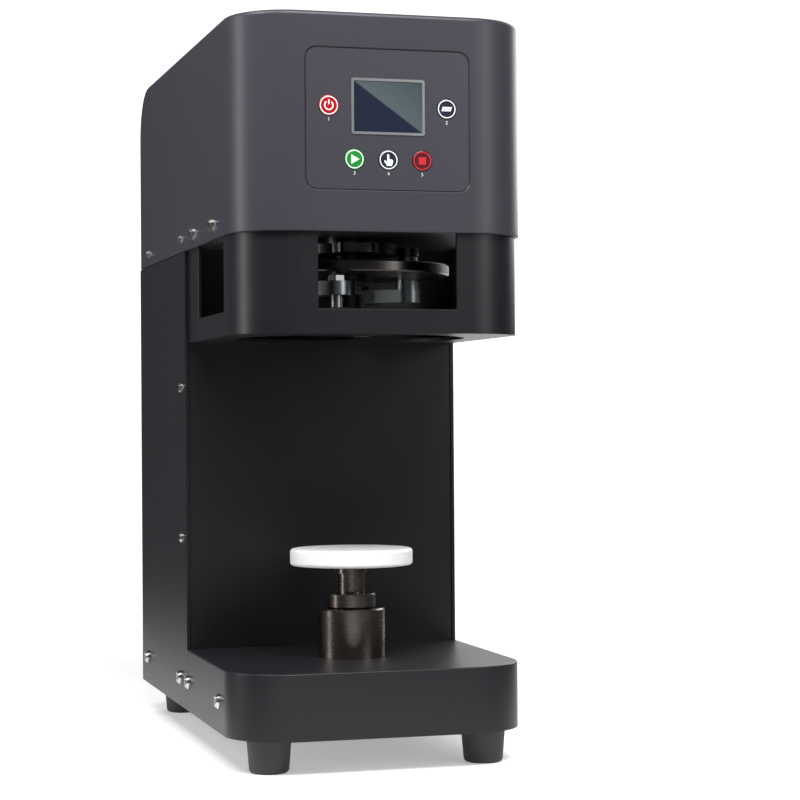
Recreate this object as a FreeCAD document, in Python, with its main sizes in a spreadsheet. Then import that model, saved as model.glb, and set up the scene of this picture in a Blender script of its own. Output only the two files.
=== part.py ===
"""Desktop can seamer: the can stands still on a lifting tray while a turret with two roller arms
runs round it and rolls the lid's seam against a fixed chuck.

Frame: +Z up, -Y towards the user, +X to the user's right, origin on the table under the middle of
the machine's box. All lengths are in millimetres and all angles in degrees.
"""
import FreeCAD, Part
import math
import os
import re

import Sketcher
from FreeCAD import Placement, Rotation, Vector

# ---------------------------------------------------------------------------
# Driving sizes
# ---------------------------------------------------------------------------
SIZES = {
    # casing
    "machine_width": 216.0,
    "bay_depth": 197.5,          # hood front to column front
    "column_depth": 212.5,       # column front to hood rear
    "foot_height": 24.5,
    "base_height": 47.0,
    "bay_height": 235.5,         # base top to guard underside
    "guard_height": 70.5,        # guard underside to the hood's lower edge
    "hood_height": 152.5,
    "cover_sheet": 2.5,          # wall of every cover
    "hood_rear_bend": 42.0,
    "hood_edge_round": 3.5,
    "base_setback": 9.5,         # base front behind the hood front
    "rim_round": 1.2,
    "cover_gap": 0.5,            # open joint between two covers
    "rear_setback": 2.5,         # rear cover behind the side panels' rear edge
    "front_panel_setback": 1.0,
    "front_panel_flange": 20.0,
    "guard_lap": 14.0,           # guard's upper edge inside the hood
    "window_width": 100.0,
    "window_sill": 17.0,         # guard underside to the windows' lower edge
    "window_bevel": 0.6,
    "lip_round": 0.8,            # hood's lower edge
    "side_window_start": 60.0,   # from the hood's front plane
    "side_window_length": 97.0,
    "can_hole_rear_margin": 2.5,     # column front to the can hole
    "can_hole_front_margin": 25.0,   # can hole to the hood's front
    "louvre_length": 64.0,
    "louvre_width": 4.0,
    "louvre_pitch": 11.0,
    "louvre_low": 205.0,         # lowest louvre above the base top
    "inlet_width": 27.4,
    "inlet_height": 19.4,
    "inlet_middle": 2.0,         # above the base top
    "inlet_depth": 20.0,         # behind the rear cover's inner face
    "inlet_flange_width": 38.0,
    "inlet_flange_height": 28.0,
    "inlet_flange_thickness": 1.5,
    "inlet_fit": 0.3,            # inlet in its opening, each side
    "inlet_wall": 2.2,
    "inlet_pin_width": 2.0,
    "inlet_pin_height": 5.0,
    "inlet_pin_length": 12.0,
    "inlet_pin_pitch": 7.0,
    # feet
    "foot_top_diameter": 32.0,
    "foot_bottom_diameter": 28.0,
    "foot_round": 3.0,
    "foot_inset_side": 29.0,
    "foot_inset_front": 40.0,
    "foot_inset_rear": 35.0,
    # fasteners of the covers
    "large_screw_head": 10.5,
    "large_screw_height": 3.0,
    "large_screw_shank": 6.0,
    "small_screw_head": 7.6,
    "small_screw_height": 2.2,
    "small_screw_shank": 4.0,
    "large_screw_length": 9.0,
    "small_screw_length": 7.5,
    "screw_fit": 0.1,            # radial, screw in its hole
    "hood_screw_height": 10.5,   # above the hood's lower edge
    "base_screw_height": 22.5,   # above the base's lower edge
    "hood_screw_behind": 52.5,   # hood screws, behind and in front of the can's axis
    "hood_screw_ahead": 23.5,
    "hood_small_screw_front": 17.7,  # behind the column's front
    "hood_small_screw_rear": 43.5,   # in front of the hood's rear
    "column_screw_inset": 18.5,      # behind the column's front
    "column_screw_low": 85.0,        # above the base top
    "column_screw_high": 201.5,
    "panel_screw_front": 27.5,       # behind the column's front
    "panel_screw_rear": 31.5,        # in front of the hood's rear
    "shell_screw_rear": 7.5,         # in front of the column's front
    "shell_screw_front": 125.5,
    # frame
    "pan_sheet": 3.0,
    "pan_flange_height": 36.0,
    "frame_plate": 6.0,
    "frame_window_front": 50.0,  # behind the column's front
    "frame_window_rear": 52.5,   # in front of the hood's rear
    "frame_window_low": 40.0,    # above the base top
    "frame_window_high": 150.0,
    "plate_rise": 2.5,           # hood's lower edge to main plate
    "plate_thickness": 16.0,
    "plate_clearance": 0.2,
    # control panel
    "panel_width": 118.0,
    "panel_margin": 4.0,         # panel to the start of the hood's corners
    "panel_height": 98.0,
    "panel_bottom": 29.0,        # above the hood's lower edge
    "panel_corner": 8.0,
    "panel_recess": 1.2,
    "panel_bevel": 1.0,
    "overlay_thickness": 0.8,
    "display_width": 53.0,
    "display_height": 39.0,
    "display_bottom": 67.5,      # above the hood's lower edge
    "bezel_width": 1.8,
    "bezel_corner": 1.8,
    "bezel_lap": 0.8,            # bezel over the film's edge
    "bezel_depth": 1.3,
    "display_depth": 1.0,
    "key_diameter": 14.2,
    "key_fit": 0.3,              # radial, key in its hole
    "key_proud": 0.4,
    "key_length": 5.0,
    "key_flange_diameter": 18.0,
    "key_flange_thickness": 1.4,
    "key_side_offset": 42.6,
    "key_row_offset": 24.5,
    "key_upper_height": 86.8,    # above the hood's lower edge
    "key_lower_height": 50.0,
    "board_width": 106.0,
    "board_height": 84.0,
    "board_thickness": 1.6,
    # can lift
    "can_reach": 87.5,           # column front to the can's axis
    "tray_diameter": 91.0,
    "tray_thickness": 12.4,
    "tray_bottom": 67.7,         # tray underside above the base top
    "tray_round": 2.5,
    "stem_diameter": 20.0,
    "stem_flange_diameter": 23.0,
    "stem_flange_height": 6.2,
    "stem_depth": 42.0,          # stem inside the rod
    "stem_bore_depth": 58.0,
    "collar_diameter": 36.0,
    "collar_height": 10.6,
    "set_screw_diameter": 5.0,
    "rod_diameter": 30.0,
    "sleeve_diameter": 49.5,
    "sleeve_height": 36.0,       # above the base top
    "sleeve_chamfer": 1.0,
    "sleeve_flange_diameter": 78.0,
    "sleeve_flange_thickness": 7.5,
    "lift_slot_width": 20.0,
    "lift_slot_height": 32.0,
    "lift_stroke": 20.0,
    "running_clearance": 0.05,   # radial, shaft in bearing
    "contact_gap": 0.3,          # between faces that only meet at work
    "lever_width": 16.0,
    "lever_nose": 6.0,
    "lever_front_arm": 80.0,
    "lever_rear_arm": 70.0,
    "lever_rise": 26.0,
    "lever_height": 17.0,        # pivot above the pan
    "lever_hub": 10.0,
    "lever_pin_diameter": 8.0,
    "bracket_cheek": 5.0,
    "lever_roller_diameter": 18.0,
    "lever_roller_width": 9.0,
    "lift_cam_angle": 200.0,
    "lift_cam_above": 28.0,      # cam axis above the lever roller's axis
    "lift_shaft_diameter": 12.0,
    "gearbox_width": 40.0,
    "gearbox_height": 56.0,
    "lift_motor_diameter": 37.0,
    "lift_motor_length": 62.0,
    # seaming head
    "chuck_diameter": 82.0,
    "chuck_plug_diameter": 78.0,
    "chuck_plug_height": 5.0,
    "chuck_height": 12.0,
    "chuck_rise": 3.5,           # chuck underside above the guard underside
    "chuck_hub_diameter": 23.0,
    "chuck_hub_height": 17.0,
    "chuck_shaft_diameter": 12.0,
    "turret_diameter": 148.0,
    "turret_thickness": 8.0,
    "turret_height": 46.0,       # turret underside above the guard underside
    "turret_rest_angle": 210.0,
    "turret_bore_gap": 0.5,
    "spindle_diameter": 25.0,
    "sleeve_bore": 30.0,
    "cam_sleeve_diameter": 40.0,
    "bush_length": 16.0,
    "bearing_diameter": 52.0,
    "bearing_width": 7.0,
    "housing_diameter": 61.0,
    "housing_flange_diameter": 88.0,
    "housing_flange_thickness": 7.0,
    "housing_rise": 28.0,        # above the main plate
    "arm_thickness": 10.0,
    "arm_drop": 17.0,            # arm underside below the turret's underside
    "arm_width": 20.0,
    "arm_length": 41.0,
    "arm_angle": 103.4,          # arm against the radius through its pivot
    "arm_pivot_radius": 62.0,
    "arm_shaft_diameter": 10.0,
    "arm_hub_diameter": 18.0,
    "follower_arm_thickness": 6.0,
    "follower_arm_width": 14.0,
    "follower_arm_length": 37.0,
    "follower_angle": 225.0,     # follower arm against the same radius
    "follower_diameter": 16.0,
    "follower_width": 6.5,
    "follower_bore": 6.0,
    "roller_diameter": 34.0,
    "roller_height": 12.0,
    "roller_groove": 2.5,
    "roller_rise": 4.0,          # roller underside above the chuck's
    "roller_pin_diameter": 8.0,
    "roller_head_diameter": 13.0,
    "roller_head_height": 3.0,
    "cam_radius": 36.0,
    "cam_lift": 5.8,
    "cam_thickness": 7.0,
    "cam_dwell_angle": 14.0,
    "cam_ramp_angle": 16.0,
    "cam_rest_angle": 90.0,      # lobe ahead of the first follower
    # drive
    "gear_module": 1.5,
    "gear_width": 8.0,
    "gear_backlash": 0.16,
    "gear_height": 31.0,         # cam gear above the main plate
    "gear_space": 4.0,
    "pinion_width": 24.0,
    "pinion_shaft_diameter": 12.0,
    "pinion_bush_diameter": 20.0,
    "pinion_bush_flange": 26.0,
    "belt_height": 10.0,         # pulleys above the main plate
    "belt_width": 10.0,
    "belt_thickness": 3.0,
    "pulley_flange": 1.5,
    "large_pulley_diameter": 48.0,
    "motor_pulley_diameter": 24.0,
    "motor_reach": 94.0,         # pinion axis to motor axis
    "motor_diameter": 88.0,
    "motor_length": 136.0,
    "motor_boss_diameter": 34.0,
    "motor_shaft_diameter": 14.0,
    "bridge_height": 72.0,
    "bridge_half_span": 62.0,
    "bridge_leg": 12.0,
    "bridge_depth": 26.0,
}

# Teeth of the train that turns the cam a little slower than the turret: one wide pinion drives both
PINION_TEETH = 24
TURRET_TEETH = 60
CAM_TEETH = 61
FLANK_STEPS = 2

# How far the lift cam's radial step goes in, as a share of its largest radius
CAM_NICK = 0.12

# Places worked out from the driving sizes
PLACES = {
    "half_width": "machine_width / 2",
    "hood_corner": "half_width - panel_width / 2 - panel_margin",
    "can_hole_diameter": "2 * min(can_reach - can_hole_rear_margin; "
                         "bay_depth - can_reach - can_hole_front_margin)",
    "half_depth": "(bay_depth + column_depth) / 2",
    "column_front": "bay_depth - half_depth",
    "base_top": "foot_height + base_height",
    "guard_bottom": "base_top + bay_height",
    "seam": "guard_bottom + guard_height",
    "hood_top": "seam + hood_height",
    "guard_front": "half_depth - cover_sheet - cover_gap",
    "guard_side": "half_width - cover_sheet - cover_gap / 2",
    "guard_corner": "hood_corner - cover_sheet - cover_gap / 2",
    "plate_low": "seam + plate_rise",
    "plate_top": "plate_low + plate_thickness",
    "plate_side": "guard_side - cover_sheet - plate_clearance",
    "plate_front": "guard_front - cover_sheet - plate_clearance",
    "base_front": "half_depth - base_setback",
    "pan_top": "foot_height + pan_sheet",
    "pan_side": "half_width - cover_sheet",
    "frame_side": "pan_side - pan_sheet",
    "rear_inside": "half_depth - rear_setback - cover_sheet",
    "front_panel_face": "column_front + front_panel_setback",
    "axis_y": "column_front - can_reach",
    "sleeve_top": "base_top + sleeve_height",
    "rod_low": "pivot_z + lever_nose + contact_gap",
    "collar_low": "sleeve_top + contact_gap",
    "collar_top": "collar_low + collar_height",
    "tray_low": "base_top + tray_bottom",
    "pivot_y": "axis_y + lever_front_arm",
    "pivot_z": "pan_top + lever_height",
    "lift_cam_y": "pivot_y + lever_rear_arm",
    "lift_cam_z": "pivot_z + lever_rise + lift_cam_above",
    "chuck_low": "guard_bottom + chuck_rise",
    "hub_top": "chuck_low + chuck_height + chuck_hub_height",
    "turret_low": "guard_bottom + turret_height",
    "turret_top": "turret_low + turret_thickness",
    "arm_low": "turret_low - arm_drop",
    "roller_low": "chuck_low + roller_rise",
    "follower_arm_low": "turret_top + 1",
    "follower_low": "follower_arm_low + follower_arm_thickness + 0.5",
    "cam_low": "follower_low + 0.25",
    "housing_top": "plate_top + housing_rise",
    "cam_gear_low": "plate_top + gear_height",
    "turret_gear_low": "cam_gear_low + gear_width + gear_space",
    "spindle_top": "turret_gear_low + gear_width + 4",
    "pinion_low": "cam_gear_low - 2",
    "pinion_y": "axis_y + gear_module * 42",
    "pulley_low": "plate_top + belt_height",
    "motor_y": "pinion_y + motor_reach",
    "bridge_low": "plate_top + bridge_height",
    "panel_low": "seam + panel_bottom",
    "recess_face": "half_depth - panel_recess",
    "wall_inside": "half_depth - cover_sheet",
}

document = FreeCAD.newDocument("CanSeamer")
sheet = document.addObject("Spreadsheet::Sheet", "Sizes")


def fill_sheet():
    """Writes one row for each driving size: its name, and its value under that alias."""
    for row, (name, value) in enumerate(SIZES.items(), start=1):
        sheet.set(f"A{row}", name)
        sheet.set(f"B{row}", str(value))
        sheet.setAlias(f"B{row}", name)
    document.recompute()


def formula(text):
    """An expression for FreeCAD from words of SIZES and PLACES."""
    text = str(text)

    def word(match):
        name = match.group(0)
        if name in PLACES:
            return "(" + formula(PLACES[name]) + ")"
        return "Sizes." + name if name in SIZES else name

    return re.sub(r"[a-z_]+", word, text)


def mm(text):
    """The value of such an expression now."""
    return float(sheet.evalExpression(formula(text)))


# ---------------------------------------------------------------------------
# Feature helpers
# ---------------------------------------------------------------------------
parts = {}


def keep(item, label):
    """Registers a finished sub-part under the name of its node."""
    item.Label = label
    parts[label] = item
    return item


def new_body(label, x="0", y="0", z="0", finished=True):
    body = document.addObject("PartDesign::Body", label)
    for axis, text in zip("xyz", (x, y, z)):
        body.setExpression(f"Placement.Base.{axis}", formula(text))
    if finished:
        keep(body, label)
    return body


def origin_plane(body, role):
    return next(f for f in body.Origin.OriginFeatures if f.Role == role)


def new_sketch(body, plane="XY_Plane", offset="0"):
    sketch = body.newObject("Sketcher::SketchObject", body.Name + "_sketch")
    sketch.AttachmentSupport = [(origin_plane(body, plane), "")]
    sketch.MapMode = "FlatFace"
    sketch.setExpression("AttachmentOffset.Base.z", formula(offset))
    return sketch


def tie(sketch, kind, references, text):
    """A dimension of the sketch that follows an expression."""
    index = sketch.addConstraint(Sketcher.Constraint(kind, *references, mm(text)))
    sketch.setExpression(f"Constraints[{index}]", formula(text))


def add_polygon(sketch, corners):
    """A closed outline through corners, each a pair of expressions."""
    first = sketch.GeometryCount
    points = [Vector(mm(a), mm(b), 0) for a, b in corners]
    count = len(points)
    for i in range(count):
        sketch.addGeometry(Part.LineSegment(points[i], points[(i + 1) % count]))
    for i in range(count):
        nxt = first + (i + 1) % count
        sketch.addConstraint(Sketcher.Constraint("Coincident", first + i, 2, nxt, 1))
    for i, (a, b) in enumerate(corners):
        tie(sketch, "DistanceX", (-1, 1, first + i, 1), a)
        tie(sketch, "DistanceY", (-1, 1, first + i, 1), b)


def add_circle(sketch, a, b, diameter):
    index = sketch.addGeometry(Part.Circle(Vector(mm(a), mm(b), 0), Vector(0, 0, 1), mm(diameter) / 2))
    tie(sketch, "Diameter", (index,), diameter)
    tie(sketch, "DistanceX", (-1, 1, index, 3), a)
    tie(sketch, "DistanceY", (-1, 1, index, 3), b)


def rectangle(x_low, x_high, y_low, y_high):
    return [(x_low, y_low), (x_high, y_low), (x_high, y_high), (x_low, y_high)]


def feature(body, kind, sketch, length=None, midplane=False, backwards=False):
    made = body.newObject("PartDesign::" + kind, f"{body.Name}_{kind}")
    made.Profile = sketch
    if length is None:
        made.Type = 1 if kind == "Pocket" else 0
    else:
        made.setExpression("Length", formula(length))
    if midplane:
        made.Midplane = True
    made.Reversed = backwards
    body.Tip = made
    document.recompute()
    return made


def pad(body, sketch, length, midplane=False, backwards=False):
    return feature(body, "Pad", sketch, length, midplane, backwards)


def pocket(body, sketch, length=None, midplane=False, backwards=False):
    """Cuts the sketch out, and stops the build if nothing was cut."""
    before = body.Shape.Volume
    made = feature(body, "Pocket", sketch, length, midplane, backwards)
    if before - body.Shape.Volume < 1e-3:
        raise RuntimeError(f"{made.Name} cuts nothing")
    return made


def revolve(body, sketch):
    made = body.newObject("PartDesign::Revolution", f"{body.Name}_revolution")
    made.Profile = sketch
    made.ReferenceAxis = (sketch, ["V_Axis"])
    made.Angle = 360
    body.Tip = made
    document.recompute()
    return made


def groove(body, sketch):
    before = body.Shape.Volume
    made = body.newObject("PartDesign::Groove", f"{body.Name}_groove")
    made.Profile = sketch
    made.ReferenceAxis = (sketch, ["V_Axis"])
    made.Angle = 360
    body.Tip = made
    document.recompute()
    if before - body.Shape.Volume < 1e-3:
        raise RuntimeError(f"{made.Name} cuts nothing")
    return made


def polar(body, source, count):
    """Repeats a feature round the body's own Z axis."""
    made = body.newObject("PartDesign::PolarPattern", f"{body.Name}_polar")
    made.Originals = [source]
    made.Axis = (next(f for f in body.Origin.OriginFeatures if f.Role == "Z_Axis"), [""])
    made.Angle = 360
    made.Occurrences = count
    body.Tip = made
    document.recompute()
    return made


def linear(body, source, direction, pitch, count):
    """Repeats a feature along one of the body's own axes."""
    made = body.newObject("PartDesign::LinearPattern", f"{body.Name}_row")
    made.Originals = [source]
    made.Direction = (next(f for f in body.Origin.OriginFeatures if f.Role == direction), [""])
    made.Mode = "Spacing"
    made.setExpression("Offset", formula(pitch))
    made.Occurrences = count
    body.Tip = made
    document.recompute()
    return made


def mirrored(body, source, plane):
    """Repeats a feature on the other side of one of the body's own planes."""
    made = body.newObject("PartDesign::Mirrored", f"{body.Name}_mirror")
    made.Originals = [source]
    made.MirrorPlane = (origin_plane(body, plane), [""])
    body.Tip = made
    document.recompute()
    return made


def edges_where(body, test):
    """Names of the tip's edges whose middle point and ends pass the test."""
    found = []
    for i, edge in enumerate(body.Tip.Shape.Edges, start=1):
        middle = edge.valueAt((edge.FirstParameter + edge.LastParameter) / 2)
        if test(middle, edge):
            found.append(f"Edge{i}")
    if not found:
        raise RuntimeError(f"{body.Label} has no such edge")
    return found


def faces_where(body, test):
    names = [f"Face{i}" for i, face in enumerate(body.Tip.Shape.Faces, start=1) if test(face)]
    if not names:
        raise RuntimeError(f"{body.Label} has no such face")
    return names


def dress(body, kind, names, size):
    """Fillet, Chamfer or Thickness on named edges or faces of the tip."""
    made = body.newObject("PartDesign::" + kind, f"{body.Name}_{kind}")
    made.Base = (body.Tip if body.Tip is not made else made.BaseFeature, names)
    prop = {"Fillet": "Radius", "Chamfer": "Size", "Thickness": "Value"}[kind]
    made.setExpression(prop, formula(size))
    body.Tip = made
    document.recompute()
    if kind != "Thickness" and "Invalid" in made.State:
        raise RuntimeError(f"{made.Name} can't be made")
    return made


def is_vertical(edge):
    a, b = edge.Vertexes[0].Point, edge.Vertexes[-1].Point
    return abs(a.x - b.x) < 1e-4 and abs(a.y - b.y) < 1e-4 and abs(a.z - b.z) > 1e-4


def turned(label, profile, x="0", y="0", z="0", finished=True):
    """A round piece: a closed profile of (radius, height) pairs revolved about the vertical axis."""
    body = new_body(label, x, y, z, finished)
    sketch = new_sketch(body, "XZ_Plane")
    add_polygon(sketch, profile)
    revolve(body, sketch)
    return body


def block(label, x, y, z, finished=True):
    """A plain rectangular body between pairs of expressions."""
    body = new_body(label, finished=finished)
    sketch = new_sketch(body, "XY_Plane", z[0])
    add_polygon(sketch, rectangle(*x, *y))
    pad(body, sketch, f"{z[1]} - ({z[0]})")
    return body


# ---------------------------------------------------------------------------
# Casing
# ---------------------------------------------------------------------------
def front_outline(side, front, rear):
    return rectangle(f"-({side})", side, f"-({front})", rear)


def is_front_corner(point, edge):
    """An upright edge in front of the column."""
    return is_vertical(edge) and point.y < mm("column_front") - 1


def rounded_block(label, side, front, rear, low, high, corner, finished=True):
    """A block whose two front corners are rounded in plan."""
    body = new_body(label, finished=finished)
    sketch = new_sketch(body, "XY_Plane", low)
    add_polygon(sketch, front_outline(side, front, rear))
    pad(body, sketch, f"{high} - ({low})")
    dress(body, "Fillet", edges_where(body, is_front_corner), corner)
    return body


def shelled(body, test, wall="cover_sheet"):
    """Hollows the body to this wall, open at the faces that pass the test."""
    made = dress(body, "Thickness", faces_where(body, test), wall)
    made.Reversed = True
    made.Join = 1
    document.recompute()
    if "Invalid" in made.State or body.Shape.isNull():
        raise RuntimeError(f"{body.Label} can't be hollowed")
    return made


def face_at(face, axis, value):
    box = face.BoundBox
    low, high = {"x": (box.XMin, box.XMax), "y": (box.YMin, box.YMax), "z": (box.ZMin, box.ZMax)}[axis]
    return abs(low - value) < 1e-4 and abs(high - value) < 1e-4


def side_screw_holes(body, places, shank):
    """Holes right through in X for screws at (y, z) places."""
    sketch = new_sketch(body, "YZ_Plane")
    for y, z in places:
        add_circle(sketch, y, z, f"{shank} + 2 * screw_fit")
    pocket(body, sketch, "machine_width * 1.1", midplane=True)


# Screws of the covers as (y, z) places, the same on both sides
HOOD_LARGE = [("axis_y + hood_screw_behind", "seam + hood_screw_height"),
              ("axis_y - hood_screw_ahead", "seam + hood_screw_height")]
HOOD_SMALL = [("half_depth - hood_small_screw_rear", "seam + hood_screw_height"),
              ("column_front + hood_small_screw_front", "seam + hood_screw_height")]
COLUMN_SMALL = [("column_front + column_screw_inset", "base_top + column_screw_high"),
                ("column_front + column_screw_inset", "base_top + column_screw_low")]
PANEL_LARGE = [("half_depth - panel_screw_rear", "foot_height + base_screw_height"),
               ("column_front + panel_screw_front", "foot_height + base_screw_height")]
SHELL_LARGE = [("column_front - shell_screw_rear", "foot_height + base_screw_height"),
               ("column_front - shell_screw_front", "foot_height + base_screw_height")]
KEYS = {
    "power_key": ("-key_side_offset", "seam + key_upper_height"),
    "clear_key": ("key_side_offset", "seam + key_upper_height"),
    "start_key": ("-key_row_offset", "seam + key_lower_height"),
    "manual_key": ("0", "seam + key_lower_height"),
    "stop_key": ("key_row_offset", "seam + key_lower_height"),
}


def round_corners(body, size, extent):
    """Rounds the four edges that run in Y at the corners of a panel of this half width."""
    half = mm(extent)

    def corner(point, edge):
        a, b = edge.Vertexes[0].Point, edge.Vertexes[-1].Point
        along = abs(a.x - b.x) < 1e-4 and abs(a.z - b.z) < 1e-4 and abs(a.y - b.y) > 1e-4
        return along and abs(abs(point.x) - half) < 1e-3

    dress(body, "Fillet", edges_where(body, corner), size)


def panel_sheet(label, half, low, high, front, depth, corner):
    """A flat piece in the front wall: front is its distance in front of the machine's middle."""
    body = new_body(label)
    sketch = new_sketch(body, "XZ_Plane", front)
    add_polygon(sketch, rectangle(f"-({half})", half, low, high))
    pad(body, sketch, depth, backwards=True)
    round_corners(body, corner, half)
    return body


def make_upper_cover():
    body = rounded_block("upper_cover", "half_width", "half_depth", "half_depth", "seam", "hood_top",
                         "hood_corner")
    top, rear = mm("hood_top"), mm("half_depth")
    dress(body, "Fillet", edges_where(
        body, lambda p, e: abs(p.z - top) < 1e-3 and abs(p.y - rear) < 1e-3), "hood_rear_bend")
    dress(body, "Fillet", edges_where(
        body, lambda p, e: abs(p.z - top) < 1e-3 and abs(e.BoundBox.ZLength) < 1e-3
        and p.y < rear - mm("hood_rear_bend") - 1), "hood_edge_round")
    seam, side, corner = mm("seam"), mm("half_width"), mm("hood_corner")
    shelled(body, lambda f: face_at(f, "z", seam))

    def lip(point, edge):
        """An edge of the hood's lower outline, on its outside."""
        bend = getattr(edge.Curve, "Radius", 0)
        outside = (abs(abs(point.x) - side) < 1e-3 or abs(abs(point.y) - rear) < 1e-3
                   or abs(bend - corner) < 1e-3)
        return abs(point.z - seam) < 1e-3 and outside

    dress(body, "Fillet", edges_where(body, lip), "lip_round")
    recess = new_sketch(body, "XZ_Plane", "recess_face")
    add_polygon(recess, rectangle("-panel_width / 2", "panel_width / 2", "panel_low",
                                  "panel_low + panel_height"))
    pocket(body, recess, "panel_recess * 2", backwards=True)
    half = mm("panel_width / 2")
    floor = -mm("recess_face")

    def recess_corner(point, edge):
        a, b = edge.Vertexes[0].Point, edge.Vertexes[-1].Point
        return (abs(abs(point.x) - half) < 1e-3 and abs(a.z - b.z) < 1e-4 and abs(a.x - b.x) < 1e-4
                and point.y < floor)

    dress(body, "Fillet", edges_where(body, recess_corner), "panel_corner")
    front = -mm("half_depth")
    dress(body, "Chamfer", edges_where(
        body, lambda p, e: abs(p.y - front) < 1e-3 and abs(e.BoundBox.YLength) < 1e-3
        and abs(p.x) < half + 1 and mm("panel_low") - 1 < p.z < mm("panel_low + panel_height") + 1),
        "panel_bevel")
    holes = new_sketch(body, "XZ_Plane", "wall_inside")
    for x, z in KEYS.values():
        add_circle(holes, x, z, "key_diameter + 2 * key_fit")
    module = "display_width / 2 - 4"
    add_polygon(holes, rectangle(f"-({module})", module, "seam + display_bottom + 4",
                                 "seam + display_bottom + display_height - 4"))
    pocket(body, holes, "cover_sheet * 4", midplane=True)
    side_screw_holes(body, HOOD_LARGE, "large_screw_shank")
    side_screw_holes(body, HOOD_SMALL, "small_screw_shank")


def make_lower_cover():
    body = rounded_block("lower_cover", "guard_side", "guard_front", "front_panel_face - cover_gap",
                         "guard_bottom", "seam + guard_lap", "guard_corner")
    low, high = mm("guard_bottom"), mm("seam + guard_lap")
    rear = mm("front_panel_face - cover_gap")
    shelled(body, lambda f: face_at(f, "z", low) or face_at(f, "z", high) or face_at(f, "y", rear))
    sill, head = mm("guard_bottom + window_sill"), mm("seam + plate_rise / 2")
    window = new_sketch(body, "XZ_Plane", "axis_y * -1")
    add_polygon(window, rectangle("-window_width / 2", "window_width / 2", "guard_bottom + window_sill",
                                  "seam + plate_rise / 2"))
    pocket(body, window, "bay_depth", backwards=True)
    sides = new_sketch(body, "YZ_Plane")
    start = "side_window_start - half_depth"
    add_polygon(sides, rectangle(start, f"{start} + side_window_length", "guard_bottom + window_sill",
                                 "seam + plate_rise / 2"))
    pocket(body, sides, "machine_width * 1.1", midplane=True)
    half, front = mm("window_width / 2"), mm("guard_front")
    side, from_y = mm("guard_side"), mm(start)
    to_y = mm(f"{start} + side_window_length")

    def window_edge(point, edge):
        """An edge of a window on the guard's outer face."""
        ahead = abs(point.y + front) < 1e-3 and abs(point.x) < half + 1e-3
        beside = abs(abs(point.x) - side) < 1e-3 and from_y - 1e-3 < point.y < to_y + 1e-3
        return (ahead or beside) and sill - 1e-3 < point.z < head + 1e-3

    dress(body, "Chamfer", edges_where(body, window_edge), "window_bevel")
    side_screw_holes(body, HOOD_LARGE, "large_screw_shank")


def make_guard_bottom():
    body = rounded_block("guard_bottom", "guard_side - cover_sheet", "guard_front - cover_sheet",
                         "front_panel_face - cover_gap", "guard_bottom", "guard_bottom + cover_sheet",
                         "guard_corner - cover_sheet")
    hole = new_sketch(body)
    add_circle(hole, "0", "axis_y", "can_hole_diameter")
    pocket(body, hole, "hood_top", backwards=True)


def make_column_side(label, sign):
    inner, outer = ("half_width - cover_sheet", "half_width")
    x = (inner, outer) if sign > 0 else (f"-({outer})", f"-({inner})")
    body = block(label, x, ("column_front", "half_depth"), ("foot_height", "seam - cover_gap"))
    side_screw_holes(body, PANEL_LARGE, "large_screw_shank")
    side_screw_holes(body, COLUMN_SMALL, "small_screw_shank")


def make_front_panel():
    side = "pan_side - cover_gap"
    body = block("column_front_panel", (f"-({side})", side),
                 ("front_panel_face", "front_panel_face + front_panel_flange"),
                 ("foot_height + pan_flange_height + cover_gap", "plate_low"))
    back = mm("front_panel_face + front_panel_flange")
    low, high = mm("foot_height + pan_flange_height + cover_gap"), mm("plate_low")
    shelled(body, lambda f: face_at(f, "y", back) or face_at(f, "z", low) or face_at(f, "z", high))
    side_screw_holes(body, COLUMN_SMALL, "small_screw_shank")


def make_rear_cover():
    side = "pan_side - cover_gap"
    body = block("rear_cover", (f"-({side})", side), ("rear_inside", "rear_inside + cover_sheet"),
                 ("foot_height", "seam - cover_gap"))
    slot = new_sketch(body, "XZ_Plane", "0 - half_depth")
    add_polygon(slot, rectangle("-louvre_length / 2", "louvre_length / 2", "base_top + louvre_low",
                                "base_top + louvre_low + louvre_width"))
    cut = pocket(body, slot, "rear_setback + cover_sheet * 2", backwards=True)
    linear(body, cut, "Z_Axis", "louvre_pitch", 7)
    inlet = new_sketch(body, "XZ_Plane", "0 - half_depth")
    add_polygon(inlet, inlet_outline("inlet_width", "inlet_height", "inlet_fit"))
    pocket(body, inlet, "rear_setback + cover_sheet * 2", backwards=True)


def inlet_outline(width, height, margin):
    """A rectangle round the inlet's middle, wider by the margin on every side."""
    return rectangle(f"-{width} / 2 - ({margin})", f"{width} / 2 + {margin}",
                     f"base_top + inlet_middle - {height} / 2 - ({margin})",
                     f"base_top + inlet_middle + {height} / 2 + {margin}")


def make_power_inlet():
    outside = "0 - rear_inside - cover_sheet - inlet_flange_thickness"
    body = new_body("power_inlet")
    case = new_sketch(body, "XZ_Plane", "inlet_depth - rear_inside")
    add_polygon(case, inlet_outline("inlet_width", "inlet_height", "0"))
    pad(body, case, "inlet_depth + cover_sheet", backwards=True)
    flange = new_sketch(body, "XZ_Plane", outside)
    add_polygon(flange, inlet_outline("inlet_flange_width", "inlet_flange_height", "0"))
    pad(body, flange, "inlet_flange_thickness")
    cavity = new_sketch(body, "XZ_Plane", outside)
    add_polygon(cavity, inlet_outline("inlet_width", "inlet_height", "0 - inlet_wall"))
    pocket(body, cavity, "inlet_depth - inlet_wall * 2", backwards=True)
    pins = new_sketch(body, "XZ_Plane", "inlet_depth - inlet_wall * 2 - rear_inside")
    half = "inlet_pin_width / 2"
    for x in ("-inlet_pin_pitch", "0", "inlet_pin_pitch"):
        add_polygon(pins, rectangle(f"{x} - {half}", f"{x} + {half}",
                                    "base_top + inlet_middle - inlet_pin_height / 2",
                                    "base_top + inlet_middle + inlet_pin_height / 2"))
    pad(body, pins, "inlet_pin_length", backwards=True)


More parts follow.
